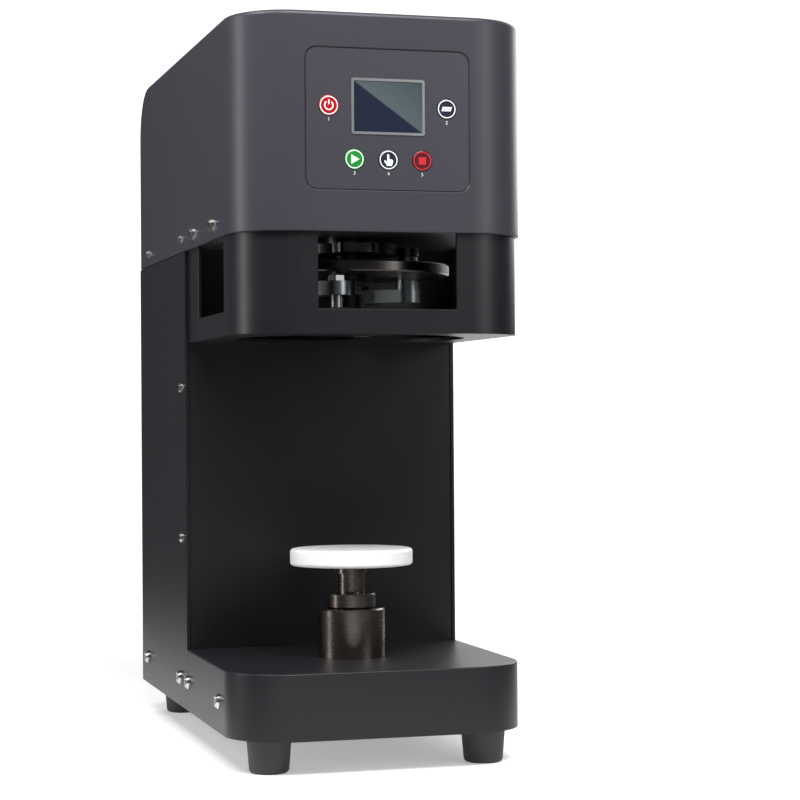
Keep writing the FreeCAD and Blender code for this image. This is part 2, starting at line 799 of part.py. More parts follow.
def make_base_shell():
    body = rounded_block("base_shell", "half_width", "base_front", "column_front - cover_gap",
                         "foot_height", "base_top", "hood_corner")
    top, low, rear = mm("base_top"), mm("foot_height"), mm("column_front - cover_gap")
    shelled(body, lambda f: face_at(f, "z", low) or face_at(f, "y", rear))
    dress(body, "Fillet", edges_where(
        body, lambda p, e: abs(p.z - top) < 1e-3 and p.y < rear - 1e-2), "rim_round")
    hole = new_sketch(body)
    add_circle(hole, "0", "axis_y", "sleeve_diameter + cover_gap * 2")
    pocket(body, hole, "hood_top", backwards=True)
    side_screw_holes(body, SHELL_LARGE, "large_screw_shank")


def make_base_pan():
    body = rounded_block("base_pan", "pan_side", "base_front - cover_sheet", "rear_inside",
                         "foot_height", "foot_height + pan_flange_height", "hood_corner - cover_sheet")
    top = mm("foot_height + pan_flange_height")
    shelled(body, lambda f: face_at(f, "z", top), "pan_sheet")
    side_screw_holes(body, SHELL_LARGE + PANEL_LARGE, "large_screw_shank")


def make_feet():
    profile = [("0", "0"), ("foot_bottom_diameter / 2", "0"), ("foot_top_diameter / 2", "foot_height"),
               ("0", "foot_height")]
    feet = []
    for name, x, y in (("left_front", -1, "foot_inset_front - half_depth"),
                       ("right_front", 1, "foot_inset_front - half_depth"),
                       ("left_rear", -1, "half_depth - foot_inset_rear"),
                       ("right_rear", 1, "half_depth - foot_inset_rear")):
        foot = turned("foot_" + name, profile, f"{x} * (half_width - foot_inset_side)", y, "0", False)
        dress(foot, "Fillet", edges_where(
            foot, lambda p, e: abs(p.z) < 1e-4 and len(e.Vertexes) == 1), "foot_round")
        feet.append(foot)
    gather("rubber_feet", feet)


def gather(label, bodies):
    """Several like pieces that share one node."""
    made = document.addObject("Part::Compound", label)
    made.Links = bodies
    document.recompute()
    return keep(made, label)


def make_screws(label, kind, places):
    """Button-head screws in both sides at (y, z) places, their heads on the covers."""
    screws = []
    for sign in (-1, 1):
        for y, z in places:
            body = new_body(f"{kind}_screw_{len(screws) + 1}", f"{sign} * half_width", y, z, False)
            body.Placement = Placement(body.Placement.Base, Rotation(Vector(0, 1, 0), 90 * sign))
            sketch = new_sketch(body, "XZ_Plane")
            head, height, shank = f"{kind}_screw_head / 2", f"{kind}_screw_height", f"{kind}_screw_shank / 2"
            add_polygon(sketch, [("0", f"-{kind}_screw_length"), (shank, f"-{kind}_screw_length"),
                                 (shank, "0"), (head, "0"), (head, f"{height} * 0.35"),
                                 (f"{head} * 0.72", height), ("0", height)])
            revolve(body, sketch)
            socket = new_sketch(body, "XY_Plane", height)
            radius = f"{kind}_screw_shank * 0.42"
            add_polygon(socket, [(f"{radius} * cos({60 * i})", f"{radius} * sin({60 * i})")
                                 for i in range(6)])
            pocket(body, socket, f"{height} * 0.6")
            screws.append(body)
    gather(label, screws)


# ---------------------------------------------------------------------------
# Control panel
# ---------------------------------------------------------------------------
def make_panel():
    overlay = panel_sheet("panel_overlay", "panel_width / 2 - cover_gap / 2",
                          "panel_low + cover_gap / 2", "panel_low + panel_height - cover_gap / 2",
                          "recess_face + overlay_thickness", "overlay_thickness",
                          "panel_corner - cover_gap / 2")
    holes = new_sketch(overlay, "XZ_Plane", "recess_face")
    for x, z in KEYS.values():
        add_circle(holes, x, z, "key_diameter + 2 * key_fit")
    behind = rectangle("bezel_lap - display_width / 2", "display_width / 2 - bezel_lap",
                       "seam + display_bottom + bezel_lap",
                       "seam + display_bottom + display_height - bezel_lap")
    add_polygon(holes, behind)
    pocket(overlay, holes, "panel_recess * 4", midplane=True)
    bezel = panel_sheet("display_bezel", "display_width / 2", "seam + display_bottom",
                        "seam + display_bottom + display_height", "recess_face + bezel_depth",
                        "bezel_depth - overlay_thickness", "bezel_corner")
    plug = new_sketch(bezel, "XZ_Plane", "recess_face")
    add_polygon(plug, behind)
    pad(bezel, plug, "overlay_thickness")
    opening = new_sketch(bezel, "XZ_Plane", "recess_face")
    add_polygon(opening, rectangle("bezel_width - display_width / 2", "display_width / 2 - bezel_width",
                                   "seam + display_bottom + bezel_width",
                                   "seam + display_bottom + display_height - bezel_width"))
    pocket(bezel, opening, "panel_recess * 4", midplane=True)
    panel_sheet("display_glass", "display_width / 2 - bezel_width", "seam + display_bottom + bezel_width",
                "seam + display_bottom + display_height - bezel_width", "recess_face + display_depth",
                "display_depth", "0.4")
    board_middle = "panel_low + panel_height / 2"
    board = new_body("key_board")
    sketch = new_sketch(board, "XZ_Plane", "half_depth - key_length - 3")
    add_polygon(sketch, rectangle("-board_width / 2", "board_width / 2",
                                  f"{board_middle} - board_height / 2", f"{board_middle} + board_height / 2"))
    pad(board, sketch, "board_thickness", backwards=True)
    module = new_sketch(board, "XZ_Plane", "half_depth - key_length - 3")
    half = "display_width / 2 - 4.5"
    add_polygon(module, rectangle(f"-({half})", half, "seam + display_bottom + 4.5",
                                  "seam + display_bottom + display_height - 4.5"))
    pad(board, module, "key_length + 3 - panel_recess - 0.1")
    studs = new_sketch(board, "XZ_Plane", "half_depth - key_length - 3")
    for x in ("-board_width / 2 + 4", "board_width / 2 - 4"):
        for z in (f"{board_middle} - board_height / 2 + 4", f"{board_middle} + board_height / 2 - 4"):
            add_circle(studs, x, z, "6")
    pad(board, studs, "key_length + 3 - cover_sheet")
    for label, (x, z) in KEYS.items():
        key = new_body(label)
        cap = new_sketch(key, "XZ_Plane", "recess_face + overlay_thickness + key_proud")
        add_circle(cap, x, z, "key_diameter")
        pad(key, cap, "key_length", backwards=True)
        front = -mm("recess_face + overlay_thickness + key_proud")
        dress(key, "Fillet", edges_where(key, lambda p, e: abs(p.y - front) < 1e-3
                                         and len(e.Vertexes) == 1), "0.5")
        flange = new_sketch(key, "XZ_Plane", "wall_inside - contact_gap")
        add_circle(flange, x, z, "key_flange_diameter")
        pad(key, flange, "key_flange_thickness", backwards=True)


# ---------------------------------------------------------------------------
# Frame
# ---------------------------------------------------------------------------
def make_main_plate():
    body = rounded_block("main_plate", "plate_side", "plate_front", "rear_inside - cover_sheet",
                         "plate_low", "plate_top", "guard_corner - cover_sheet - plate_clearance")
    holes = new_sketch(body)
    add_circle(holes, "0", "axis_y", "housing_diameter")
    add_circle(holes, "0", "pinion_y", "pinion_bush_diameter")
    add_circle(holes, "0", "motor_y", "motor_boss_diameter + 1")
    pocket(body, holes, "hood_top", backwards=True)
    side_screw_holes(body, HOOD_LARGE, "large_screw_shank")
    side_screw_holes(body, HOOD_SMALL, "small_screw_shank")


def make_frame_plates():
    plates = []
    for sign, name in ((-1, "frame_plate_left"), (1, "frame_plate_right")):
        outer, inner = "frame_side", "frame_side - frame_plate"
        x = (inner, outer) if sign > 0 else (f"-({outer})", f"-({inner})")
        body = block(name, x, ("front_panel_face + cover_sheet", "rear_inside - pan_sheet - contact_gap"),
                     ("pan_top", "plate_low"), finished=False)
        side_screw_holes(body, PANEL_LARGE, "large_screw_shank")
        side_screw_holes(body, COLUMN_SMALL, "small_screw_shank")
        windows = new_sketch(body, "YZ_Plane")
        add_polygon(windows, rectangle("column_front + frame_window_front", "half_depth - frame_window_rear",
                                       "base_top + frame_window_low", "base_top + frame_window_high"))
        pocket(body, windows, "machine_width * 1.1", midplane=True)
        plates.append(body)
    gather("frame_plates", plates)


# ---------------------------------------------------------------------------
# Can lift
# ---------------------------------------------------------------------------
def make_guide_sleeve():
    bore = "rod_diameter / 2 + running_clearance"
    outer = "sleeve_diameter / 2"
    body = turned("guide_sleeve", [
        (bore, "0"), ("sleeve_flange_diameter / 2", "0"),
        ("sleeve_flange_diameter / 2", "sleeve_flange_thickness"), (outer, "sleeve_flange_thickness"),
        (outer, "sleeve_top - pan_top - sleeve_chamfer"),
        (f"{outer} - sleeve_chamfer", "sleeve_top - pan_top"), (bore, "sleeve_top - pan_top")],
        y="axis_y", z="pan_top")
    slot = new_sketch(body, "XY_Plane", "sleeve_flange_thickness + 1")
    add_polygon(slot, rectangle("-lift_slot_width / 2", "lift_slot_width / 2", "0", "sleeve_flange_diameter"))
    pocket(body, slot, "lift_slot_height", backwards=True)


def make_lift_rod():
    radius, bore = "rod_diameter / 2", "stem_diameter / 2 + running_clearance"
    turned("lift_rod", [
        ("0", "0"), (f"{radius} - 1", "0"), (radius, "1"), (radius, "collar_top - rod_low"),
        (bore, "collar_top - rod_low"), (bore, "collar_top - rod_low - stem_bore_depth"),
        ("0", "collar_top - rod_low - stem_bore_depth")], y="axis_y", z="rod_low")
    collar = turned("rod_collar", [
        (radius, "0"), ("collar_diameter / 2 - 0.8", "0"), ("collar_diameter / 2", "0.8"),
        ("collar_diameter / 2", "collar_height - 0.8"), ("collar_diameter / 2 - 0.8", "collar_height"),
        (radius, "collar_height")], y="axis_y", z="collar_low")
    hole = new_sketch(collar, "YZ_Plane")
    add_circle(hole, "0", "collar_height / 2", "set_screw_diameter")
    pocket(collar, hole, "collar_diameter", backwards=True)
    screw = new_body("collar_screw", "0", "axis_y", "collar_low + collar_height / 2")
    shank = new_sketch(screw, "YZ_Plane", "rod_diameter / 2 + screw_fit")
    add_circle(shank, "0", "0", "set_screw_diameter")
    pad(screw, shank, "(collar_diameter - rod_diameter) / 2 - contact_gap")
    socket = new_sketch(screw, "YZ_Plane", "collar_diameter / 2")
    add_polygon(socket, [(f"set_screw_diameter * 0.3 * cos({60 * i})",
                          f"set_screw_diameter * 0.3 * sin({60 * i})") for i in range(6)])
    pocket(screw, socket, "(collar_diameter - rod_diameter) / 3")


def make_tray():
    radius, edge = "tray_diameter / 2", "tray_round"
    body = turned("can_tray", [
        ("stem_diameter / 2 - 4", "0"), (radius, "0"), (radius, "tray_thickness"),
        ("0", "tray_thickness"), ("0", "6"), ("stem_diameter / 2 - 4", "6")], y="axis_y", z="tray_low")
    rim = mm(radius)
    dress(body, "Fillet", edges_where(
        body, lambda p, e: abs(Vector(p.x, p.y, 0).Length - rim) < 1e-3 and len(e.Vertexes) == 1), edge)
    turned("tray_stem", [
        ("0", "-stem_flange_height - collar_height - stem_depth - 4"),
        ("stem_diameter / 2", "-stem_flange_height - collar_height - stem_depth - 4"),
        ("stem_diameter / 2", "-stem_flange_height"), ("stem_flange_diameter / 2", "-stem_flange_height"),
        ("stem_flange_diameter / 2", "0"), ("stem_diameter / 2 - 4", "0"), ("stem_diameter / 2 - 4", "6"),
        ("0", "6")], y="axis_y", z="tray_low")


def lever_angle(turn):
    """The lever's swing in degrees for a turn of the lift cam."""
    full = math.degrees(math.asin(mm("lift_stroke / lever_front_arm")))
    return full * turn / mm("lift_cam_angle")


def lift_cam_outline():
    """Points (y, z) of the cam about its own axis, clear of the lever's roller all the way."""
    arm, rise, above = mm("lever_rear_arm"), mm("lever_rise"), mm("lift_cam_above")
    reach = mm("lever_roller_diameter / 2 + contact_gap")
    centres = []
    for turn in range(-20, int(mm("lift_cam_angle")) + 21, 10):
        swing = math.radians(lever_angle(turn))
        y = arm * math.cos(swing) + rise * math.sin(swing) - arm
        z = rise * math.cos(swing) - arm * math.sin(swing) - rise - above
        back = math.radians(-turn)
        centres.append(Vector(0, y * math.cos(back) - z * math.sin(back),
                              y * math.sin(back) + z * math.cos(back)))
    points = []
    for before, centre, after in zip(centres, centres[1:], centres[2:]):
        along = (after - before).normalize()
        across = Vector(0, -along.z, along.y)
        if across.dot(centre) > 0:
            across = across * -1
        points.append(centre + across * reach)
    return [(p.y, p.z) for p in points]


def make_lever():
    lever = new_body("lift_lever", "0", "pivot_y", "pivot_z")
    half = "lever_width / 2"
    nose = new_sketch(lever, "YZ_Plane")
    add_circle(nose, "-lever_front_arm", "0", "lever_nose * 2")
    pad(lever, nose, "lever_width", midplane=True)
    hub = new_sketch(lever, "YZ_Plane")
    add_circle(hub, "0", "0", "lever_hub * 2")
    pad(lever, hub, "lever_width", midplane=True)
    front = new_sketch(lever, "YZ_Plane")
    add_polygon(front, [("-lever_front_arm", "-lever_nose"), ("0", "-lever_hub"), ("0", "lever_hub"),
                        ("-lever_front_arm * 0.3", "lever_nose"), ("-lever_front_arm", "lever_nose")])
    pad(lever, front, "lever_width", midplane=True)
    end = new_sketch(lever, "YZ_Plane")
    add_circle(end, "lever_rear_arm", "lever_rise", "lever_nose * 2.6")
    pad(lever, end, "lever_width", midplane=True)
    rear = new_sketch(lever, "YZ_Plane")
    add_polygon(rear, [("-lever_hub * 0.34", "lever_hub * 0.92"), ("lever_hub * 0.34", "-lever_hub * 0.92"),
                       ("lever_rear_arm + lever_nose * 0.45", "lever_rise - lever_nose * 1.22"),
                       ("lever_rear_arm - lever_nose * 0.45", "lever_rise + lever_nose * 1.22")])
    pad(lever, rear, "lever_width", midplane=True)
    bore = new_sketch(lever, "YZ_Plane")
    add_circle(bore, "0", "0", "lever_pin_diameter + 2 * running_clearance")
    pocket(lever, bore, "machine_width", midplane=True)
    pin = new_sketch(lever, "YZ_Plane", half)
    add_circle(pin, "lever_rear_arm", "lever_rise", "lever_pin_diameter")
    pad(lever, pin, "lever_roller_width + 2.5")
    roller = new_body("lever_roller", half, "lift_cam_y", "pivot_z + lever_rise")
    ring = new_sketch(roller, "YZ_Plane", "0.5")
    add_circle(ring, "0", "0", "lever_roller_diameter")
    add_circle(ring, "0", "0", "lever_pin_diameter + 2 * running_clearance")
    pad(roller, ring, "lever_roller_width")
    bracket = new_body("lever_bracket", "0", "pivot_y", "pan_top")
    inner = "lever_width / 2 + contact_gap"
    cheek = new_sketch(bracket, "XZ_Plane")
    add_polygon(cheek, [(f"-({inner}) - bracket_cheek", "0"), (f"{inner} + bracket_cheek", "0"),
                        (f"{inner} + bracket_cheek", "lever_height + 9"), (inner, "lever_height + 9"),
                        (inner, "4"), (f"-({inner})", "4"), (f"-({inner})", "lever_height + 9"),
                        (f"-({inner}) - bracket_cheek", "lever_height + 9")])
    pad(bracket, cheek, "20", midplane=True)
    pin = new_sketch(bracket, "YZ_Plane")
    add_circle(pin, "0", "lever_height", "lever_pin_diameter")
    pad(bracket, pin, f"2 * ({inner} + bracket_cheek + 2)", midplane=True)


def make_lift_drive():
    cam = new_body("lift_cam", "lever_width / 2 + 1", "lift_cam_y", "lift_cam_z")
    sketch = new_sketch(cam, "YZ_Plane")
    points = [Vector(y, z, 0) for y, z in lift_cam_outline()]
    curve = Part.BSplineCurve()
    curve.interpolate(points)
    sketch.addGeometry(curve)
    first, last = points[0], points[-1]
    nick = last * (1 - CAM_NICK)
    sketch.addGeometry(Part.LineSegment(last, nick))
    sketch.addGeometry(Part.LineSegment(nick, first))
    pad(cam, sketch, "lever_roller_width - 1")
    boss = new_sketch(cam, "YZ_Plane", "lever_roller_width - 1")
    add_circle(boss, "0", "0", "lift_shaft_diameter * 1.7")
    pad(cam, boss, "6")
    shaft = new_sketch(cam, "YZ_Plane", "8 - lever_width")
    add_circle(shaft, "0", "0", "lift_shaft_diameter")
    pad(cam, shaft, "lever_width + lever_roller_width + 2")
    motor = new_body("lift_motor", "-lever_width / 2", "lift_cam_y", "lift_cam_z")
    box = new_sketch(motor, "YZ_Plane", "-gearbox_width")
    add_polygon(box, rectangle("-gearbox_height / 2", "gearbox_height / 2", "-gearbox_height / 2",
                               "gearbox_height / 2"))
    pad(motor, box, "gearbox_width - 1")
    can = new_sketch(motor, "XZ_Plane", "-gearbox_height / 2")
    add_circle(can, "-gearbox_width / 2", "0", "lift_motor_diameter")
    pad(motor, can, "lift_motor_length", backwards=True)
    bore = new_sketch(motor, "YZ_Plane")
    add_circle(bore, "0", "0", "lift_shaft_diameter + 2 * running_clearance")
    pocket(motor, bore, "gearbox_width * 0.6")
    mount = new_sketch(motor, "YZ_Plane", "-gearbox_width")
    add_polygon(mount, rectangle("-gearbox_height / 2", "gearbox_height / 2", "-gearbox_height / 2",
                                 "gearbox_height / 2"))
    pad(motor, mount, "frame_side - frame_plate - lever_width / 2 - gearbox_width", backwards=True)


# ---------------------------------------------------------------------------
# Seaming head
# ---------------------------------------------------------------------------
def make_chuck():
    rim, plug, hub = "chuck_diameter / 2", "chuck_plug_diameter / 2", "chuck_hub_diameter / 2"
    shaft = "chuck_shaft_diameter / 2"
    turned("seaming_chuck", [
        ("0", "3"), (f"{plug} - 12", "3"), (f"{plug} - 12", "0"), (f"{plug} - 1", "0"),
        (plug, "1"), (plug, "chuck_plug_height"), (rim, "chuck_plug_height + 1"),
        (rim, "chuck_height"), (f"{hub} + 6", "chuck_height"), (hub, "chuck_height + 6"),
        (hub, "chuck_height + chuck_hub_height"), (shaft, "chuck_height + chuck_hub_height"),
        (shaft, "chuck_height"), ("0", "chuck_height")], y="axis_y", z="chuck_low")
    stay = turned("chuck_shaft", [
        ("0", "chuck_low + chuck_height"), (shaft, "chuck_low + chuck_height"), (shaft, "bridge_low + 18"),
        ("0", "bridge_low + 18")], y="axis_y")
    hexagon = new_sketch(stay, "XY_Plane", "bridge_low + 12")
    add_polygon(hexagon, [(f"chuck_shaft_diameter * 0.95 * cos({60 * i})",
                           f"chuck_shaft_diameter * 0.95 * sin({60 * i})") for i in range(6)])
    pad(stay, hexagon, "8")
    bridge = new_body("chuck_bridge", "0", "axis_y")
    front = new_sketch(bridge, "XZ_Plane")
    add_polygon(front, [
        ("-bridge_half_span - 14", "plate_top"), ("-bridge_half_span + bridge_leg", "plate_top"),
        ("-bridge_half_span + bridge_leg", "bridge_low"), ("bridge_half_span - bridge_leg", "bridge_low"),
        ("bridge_half_span - bridge_leg", "plate_top"), ("bridge_half_span + 14", "plate_top"),
        ("bridge_half_span + 14", "plate_top + 8"), ("bridge_half_span", "plate_top + 8"),
        ("bridge_half_span", "bridge_low + 12"), ("-bridge_half_span", "bridge_low + 12"),
        ("-bridge_half_span", "plate_top + 8"), ("-bridge_half_span - 14", "plate_top + 8")])
    pad(bridge, front, "bridge_depth", midplane=True)
    hole = new_sketch(bridge)
    add_circle(hole, "0", "0", "chuck_shaft_diameter")
    pocket(bridge, hole, "hood_top", backwards=True)


def pivot_place(turn):
    """Where an arm's pivot stands, for the turret's rest angle plus a turn."""
    angle = f"(turret_rest_angle + {turn})"
    return f"arm_pivot_radius * cos({angle})", f"axis_y + arm_pivot_radius * sin({angle})"


def make_turret():
    disc = turned("turret_disc", [
        ("spindle_diameter / 2", "0"), ("turret_diameter / 2 - 1", "0"), ("turret_diameter / 2", "1"),
        ("turret_diameter / 2", "turret_thickness - 1"), ("turret_diameter / 2 - 1", "turret_thickness"),
        ("spindle_diameter / 2", "turret_thickness")], y="axis_y", z="turret_low")
    holes = new_sketch(disc)
    for turn in (0, 180):
        angle = f"(turret_rest_angle + {turn})"
        add_circle(holes, f"arm_pivot_radius * cos({angle})", f"arm_pivot_radius * sin({angle})",
                   "arm_shaft_diameter + 2 * running_clearance")
    pocket(disc, holes, "turret_thickness * 2", backwards=True)
    bore = "chuck_shaft_diameter / 2 + turret_bore_gap"
    turned("turret_spindle", [
        (bore, "turret_low - 4"), ("spindle_diameter / 2 + 5", "turret_low - 4"),
        ("spindle_diameter / 2 + 5", "turret_low"), ("spindle_diameter / 2", "turret_low"),
        ("spindle_diameter / 2", "spindle_top"), (bore, "spindle_top")], y="axis_y")


def make_arm(number, turn):
    x, y = pivot_place(turn)
    arm = new_body(f"seaming_arm_{number}", x, y, "arm_low")
    arm.setExpression("Placement.Rotation.Angle", formula(f"turret_rest_angle + arm_angle + {turn}"))
    for place, size in (("0", "arm_width"), ("arm_length", "arm_width")):
        end = new_sketch(arm)
        add_circle(end, place, "0", size)
        pad(arm, end, "arm_thickness")
    bar = new_sketch(arm)
    add_polygon(bar, rectangle("0", "arm_length", "-arm_width / 2", "arm_width / 2"))
    pad(arm, bar, "arm_thickness")
    hub = new_sketch(arm)
    add_circle(hub, "0", "0", "arm_hub_diameter")
    pad(arm, hub, "arm_drop - contact_gap")
    shaft = new_sketch(arm)
    add_circle(shaft, "0", "0", "arm_shaft_diameter")
    pad(arm, shaft, "follower_arm_low + follower_arm_thickness - arm_low")
    pin = new_sketch(arm)
    add_circle(pin, "arm_length", "0", "roller_pin_diameter")
    pad(arm, pin, "arm_low - roller_low + 0.5", backwards=True)
    head = new_sketch(arm, "XY_Plane", "roller_low - arm_low - 0.5")
    add_circle(head, "arm_length", "0", "roller_head_diameter")
    pad(arm, head, "roller_head_height", backwards=True)
    cap = new_sketch(arm, "XY_Plane", "arm_thickness")
    add_polygon(cap, [(f"arm_length + 6.5 * cos({60 * i})", f"6.5 * sin({60 * i})") for i in range(6)])
    pad(arm, cap, "4")

    angle = f"(turret_rest_angle + arm_angle + {turn})"
    roller = turned(f"seaming_roller_{number}", [
        ("roller_pin_diameter / 2 + running_clearance", "0"), ("roller_diameter / 2 - 1", "0"),
        ("roller_diameter / 2", "1"), ("roller_diameter / 2", "roller_height * 0.3"),
        ("roller_diameter / 2 - roller_groove", "roller_height * 0.38"),
        ("roller_diameter / 2 - roller_groove", "roller_height * 0.55"),
        ("roller_diameter / 2", "roller_height * 0.72"), ("roller_diameter / 2", "roller_height - 1"),
        ("roller_diameter / 2 - 1", "roller_height"),
        ("roller_pin_diameter / 2 + running_clearance", "roller_height")],
        f"{x} + arm_length * cos({angle})", f"{y} + arm_length * sin({angle})", "roller_low")

    follower = new_body(f"follower_arm_{number}", x, y, "follower_arm_low")
    follower.setExpression("Placement.Rotation.Angle",
                           formula(f"turret_rest_angle + follower_angle + {turn}"))
    for place, size in (("0", "arm_hub_diameter"), ("follower_arm_length", "follower_arm_width")):
        end = new_sketch(follower)
        add_circle(end, place, "0", size)
        pad(follower, end, "follower_arm_thickness")
    bar = new_sketch(follower)
    add_polygon(bar, rectangle("0", "follower_arm_length", "-follower_arm_width / 2",
                               "follower_arm_width / 2"))
    pad(follower, bar, "follower_arm_thickness")
    stud = new_sketch(follower)
    add_circle(stud, "follower_arm_length", "0", "follower_bore")
    pad(follower, stud, "follower_low + follower_width + 0.5 - follower_arm_low")
    bore = new_sketch(follower)
    add_circle(bore, "0", "0", "arm_shaft_diameter")
    pocket(follower, bore, "follower_arm_thickness * 2", backwards=True)

    angle = f"(turret_rest_angle + follower_angle + {turn})"
    turned(f"cam_follower_{number}", [
        ("follower_bore / 2 + running_clearance", "0"), ("follower_diameter / 2 - 0.5", "0"),
        ("follower_diameter / 2", "0.5"), ("follower_diameter / 2", "follower_width - 0.5"),
        ("follower_diameter / 2 - 0.5", "follower_width"),
        ("follower_bore / 2 + running_clearance", "follower_width")],
        f"{x} + follower_arm_length * cos({angle})", f"{y} + follower_arm_length * sin({angle})",
        "follower_low")


def make_cam():
    """The seaming cam: a round dwell, and one lobe that presses each roller in as it goes by."""
    body = new_body("seaming_cam", "0", "axis_y", "cam_low")
    body.setExpression("Placement.Rotation.Angle", formula(
        "(turret_rest_angle + cam_rest_angle) * 1 deg + atan2(follower_arm_length * sin(follower_angle); "
        "arm_pivot_radius + follower_arm_length * cos(follower_angle))"))
    sketch = new_sketch(body)
    low, high = mm("cam_radius"), mm("cam_radius + cam_lift")
    dwell, ramp = mm("cam_dwell_angle"), mm("cam_ramp_angle")

    def at(radius, degrees):
        angle = math.radians(degrees)
        return Vector(radius * math.cos(angle), radius * math.sin(angle), 0)

    def arc(radius, start, end):
        return Part.Arc(at(radius, start), at(radius, (start + end) / 2), at(radius, end))

    rise = []
    for step in range(7):
        share = step / 6
        radius = low + (high - low) * (1 - math.cos(math.pi * share)) / 2
        rise.append((radius, ramp * (1 - share) + dwell))
    up, down = Part.BSplineCurve(), Part.BSplineCurve()
    up.interpolate([at(r, -a) for r, a in rise])
    down.interpolate([at(r, a) for r, a in reversed(rise)])
    sketch.addGeometry(arc(high, -dwell, dwell))
    sketch.addGeometry(down)
    sketch.addGeometry(arc(low, dwell + ramp, 360 - dwell - ramp))
    sketch.addGeometry(up)
    add_circle(sketch, "0", "0", "sleeve_bore")
    pad(body, sketch, "cam_thickness")
    inner = "sleeve_bore / 2"
    sleeve = new_sketch(body)
    add_circle(sleeve, "0", "0", "cam_sleeve_diameter")
    add_circle(sleeve, "0", "0", "sleeve_bore")
    pad(body, sleeve, "cam_gear_low + gear_width + 1 - cam_low")
    bushes = []
    for name, low in (("lower", "cam_low"), ("upper", "cam_gear_low + gear_width + 1 - bush_length")):
        bushes.append(turned("spindle_bush_" + name, [
            ("spindle_diameter / 2 + running_clearance", low), (inner, low), (inner, f"{low} + bush_length"),
            ("spindle_diameter / 2 + running_clearance", f"{low} + bush_length")], y="axis_y",
            finished=False))
    gather("spindle_bushes", bushes)


def make_housing():
    outer, flange = "housing_diameter / 2", "housing_flange_diameter / 2"
    seat, bore = "bearing_diameter / 2", "cam_sleeve_diameter / 2 + 1.5"
    low = "plate_low + 0.5"
    turned("spindle_housing", [
        (seat, low), (outer, low), (outer, "plate_top"), (flange, "plate_top"),
        (flange, "plate_top + housing_flange_thickness"), (outer, "plate_top + housing_flange_thickness"),
        (outer, "housing_top"), (seat, "housing_top"), (seat, "housing_top - bearing_width - 1"),
        (bore, "housing_top - bearing_width - 1"), (bore, f"{low} + bearing_width + 1"),
        (seat, f"{low} + bearing_width + 1")], y="axis_y")
    bearings = []
    inner = "cam_sleeve_diameter / 2 + running_clearance"
    for name, base in (("lower", f"{low} + 1"), ("upper", "housing_top - bearing_width - 1")):
        bearings.append(turned("spindle_bearing_" + name, [
            (inner, base), (seat, base), (seat, f"{base} + bearing_width"),
            (inner, f"{base} + bearing_width")], y="axis_y", finished=False))
    gather("spindle_bearings", bearings)


# ---------------------------------------------------------------------------
# Drive
# ---------------------------------------------------------------------------
def tooth_flank(teeth, module):
    """(radius, half angle) pairs up one side of a tooth, an involute thinned by the backlash."""
    pitch = module * teeth / 2
    base = pitch * math.cos(math.radians(20))
    root, tip = pitch - 1.25 * module, pitch + module
    start = max(base, root + 0.15 * module)

    def roll(radius):
        pressure = math.acos(min(1.0, base / radius))
        return math.tan(pressure) - pressure

    half = math.pi / (2 * teeth) - mm("gear_backlash") / (2 * pitch) + roll(pitch)
    flank = [(root, half - roll(start) + 0.02 / teeth)]
    for step in range(FLANK_STEPS + 1):
        radius = start + (tip - start) * step / FLANK_STEPS
        flank.append((radius, half - roll(radius)))
    return flank


def gear_outline(teeth, module, phase):
    """The whole toothed outline, with a tooth centred on the phase angle in degrees."""
    flank = tooth_flank(teeth, module)
    points = []
    for tooth in range(teeth):
        middle = math.radians(phase) + 2 * math.pi * tooth / teeth
        side = [(r, middle - a) for r, a in flank] + [(r, middle + a) for r, a in reversed(flank)]
        points += [Vector(r * math.cos(a), r * math.sin(a), 0) for r, a in side]
    return points


def gear_piece(label, teeth, module, phase, bore, x, y, z, width):
    """A spur gear blank from the sheet's sizes; its teeth are a polygon of involute points."""
    points = gear_outline(teeth, module, phase)
    face = Part.Face(Part.makePolygon(points + points[:1]))
    solid = face.extrude(Vector(0, 0, mm(width)))
    if bore:
        solid = solid.cut(Part.makeCylinder(mm(bore) / 2, mm(width)))
    piece = document.addObject("Part::Feature", label)
    piece.Shape = solid
    for axis, text in zip("xyz", (x, y, z)):
        piece.setExpression(f"Placement.Base.{axis}", formula(text))
    document.recompute()
    return piece


def make_gears():
    pitch_sum = PINION_TEETH + TURRET_TEETH
    module = mm("gear_module")
    cam_module = module * pitch_sum / (PINION_TEETH + CAM_TEETH)
    keep(gear_piece("turret_gear", TURRET_TEETH, module, 90 + 180 / TURRET_TEETH, "spindle_diameter",
                    "0", "axis_y", "turret_gear_low", "gear_width"), "turret_gear")
    keep(gear_piece("cam_gear", CAM_TEETH, cam_module, 90 + 180 / CAM_TEETH, "cam_sleeve_diameter",
                    "0", "axis_y", "cam_gear_low", "gear_width"), "cam_gear")
    blank = gear_piece("pinion_teeth", PINION_TEETH, module, 270, None, "0", "pinion_y", "pinion_low",
                       "pinion_width")
    shaft = document.addObject("Part::Cylinder", "pinion_spindle")
    shaft.setExpression("Radius", formula("pinion_shaft_diameter / 2"))
    shaft.setExpression("Height", formula("pinion_low + pinion_width + 3 - plate_low"))
    shaft.setExpression("Placement.Base.y", formula("pinion_y"))
    shaft.setExpression("Placement.Base.z", formula("plate_low"))
    joined = document.addObject("Part::Fuse", "pinion_shaft")
    joined.Base = shaft
    joined.Tool = blank
    document.recompute()
    keep(joined, "pinion_shaft")
    bore = "pinion_shaft_diameter / 2 + running_clearance"
    turned("pinion_bush", [
        (bore, "plate_low + 1"), ("pinion_bush_diameter / 2", "plate_low + 1"),
        ("pinion_bush_diameter / 2", "plate_top"), ("pinion_bush_flange / 2", "plate_top"),
        ("pinion_bush_flange / 2", "plate_top + 3"), (bore, "plate_top + 3")], y="pinion_y")


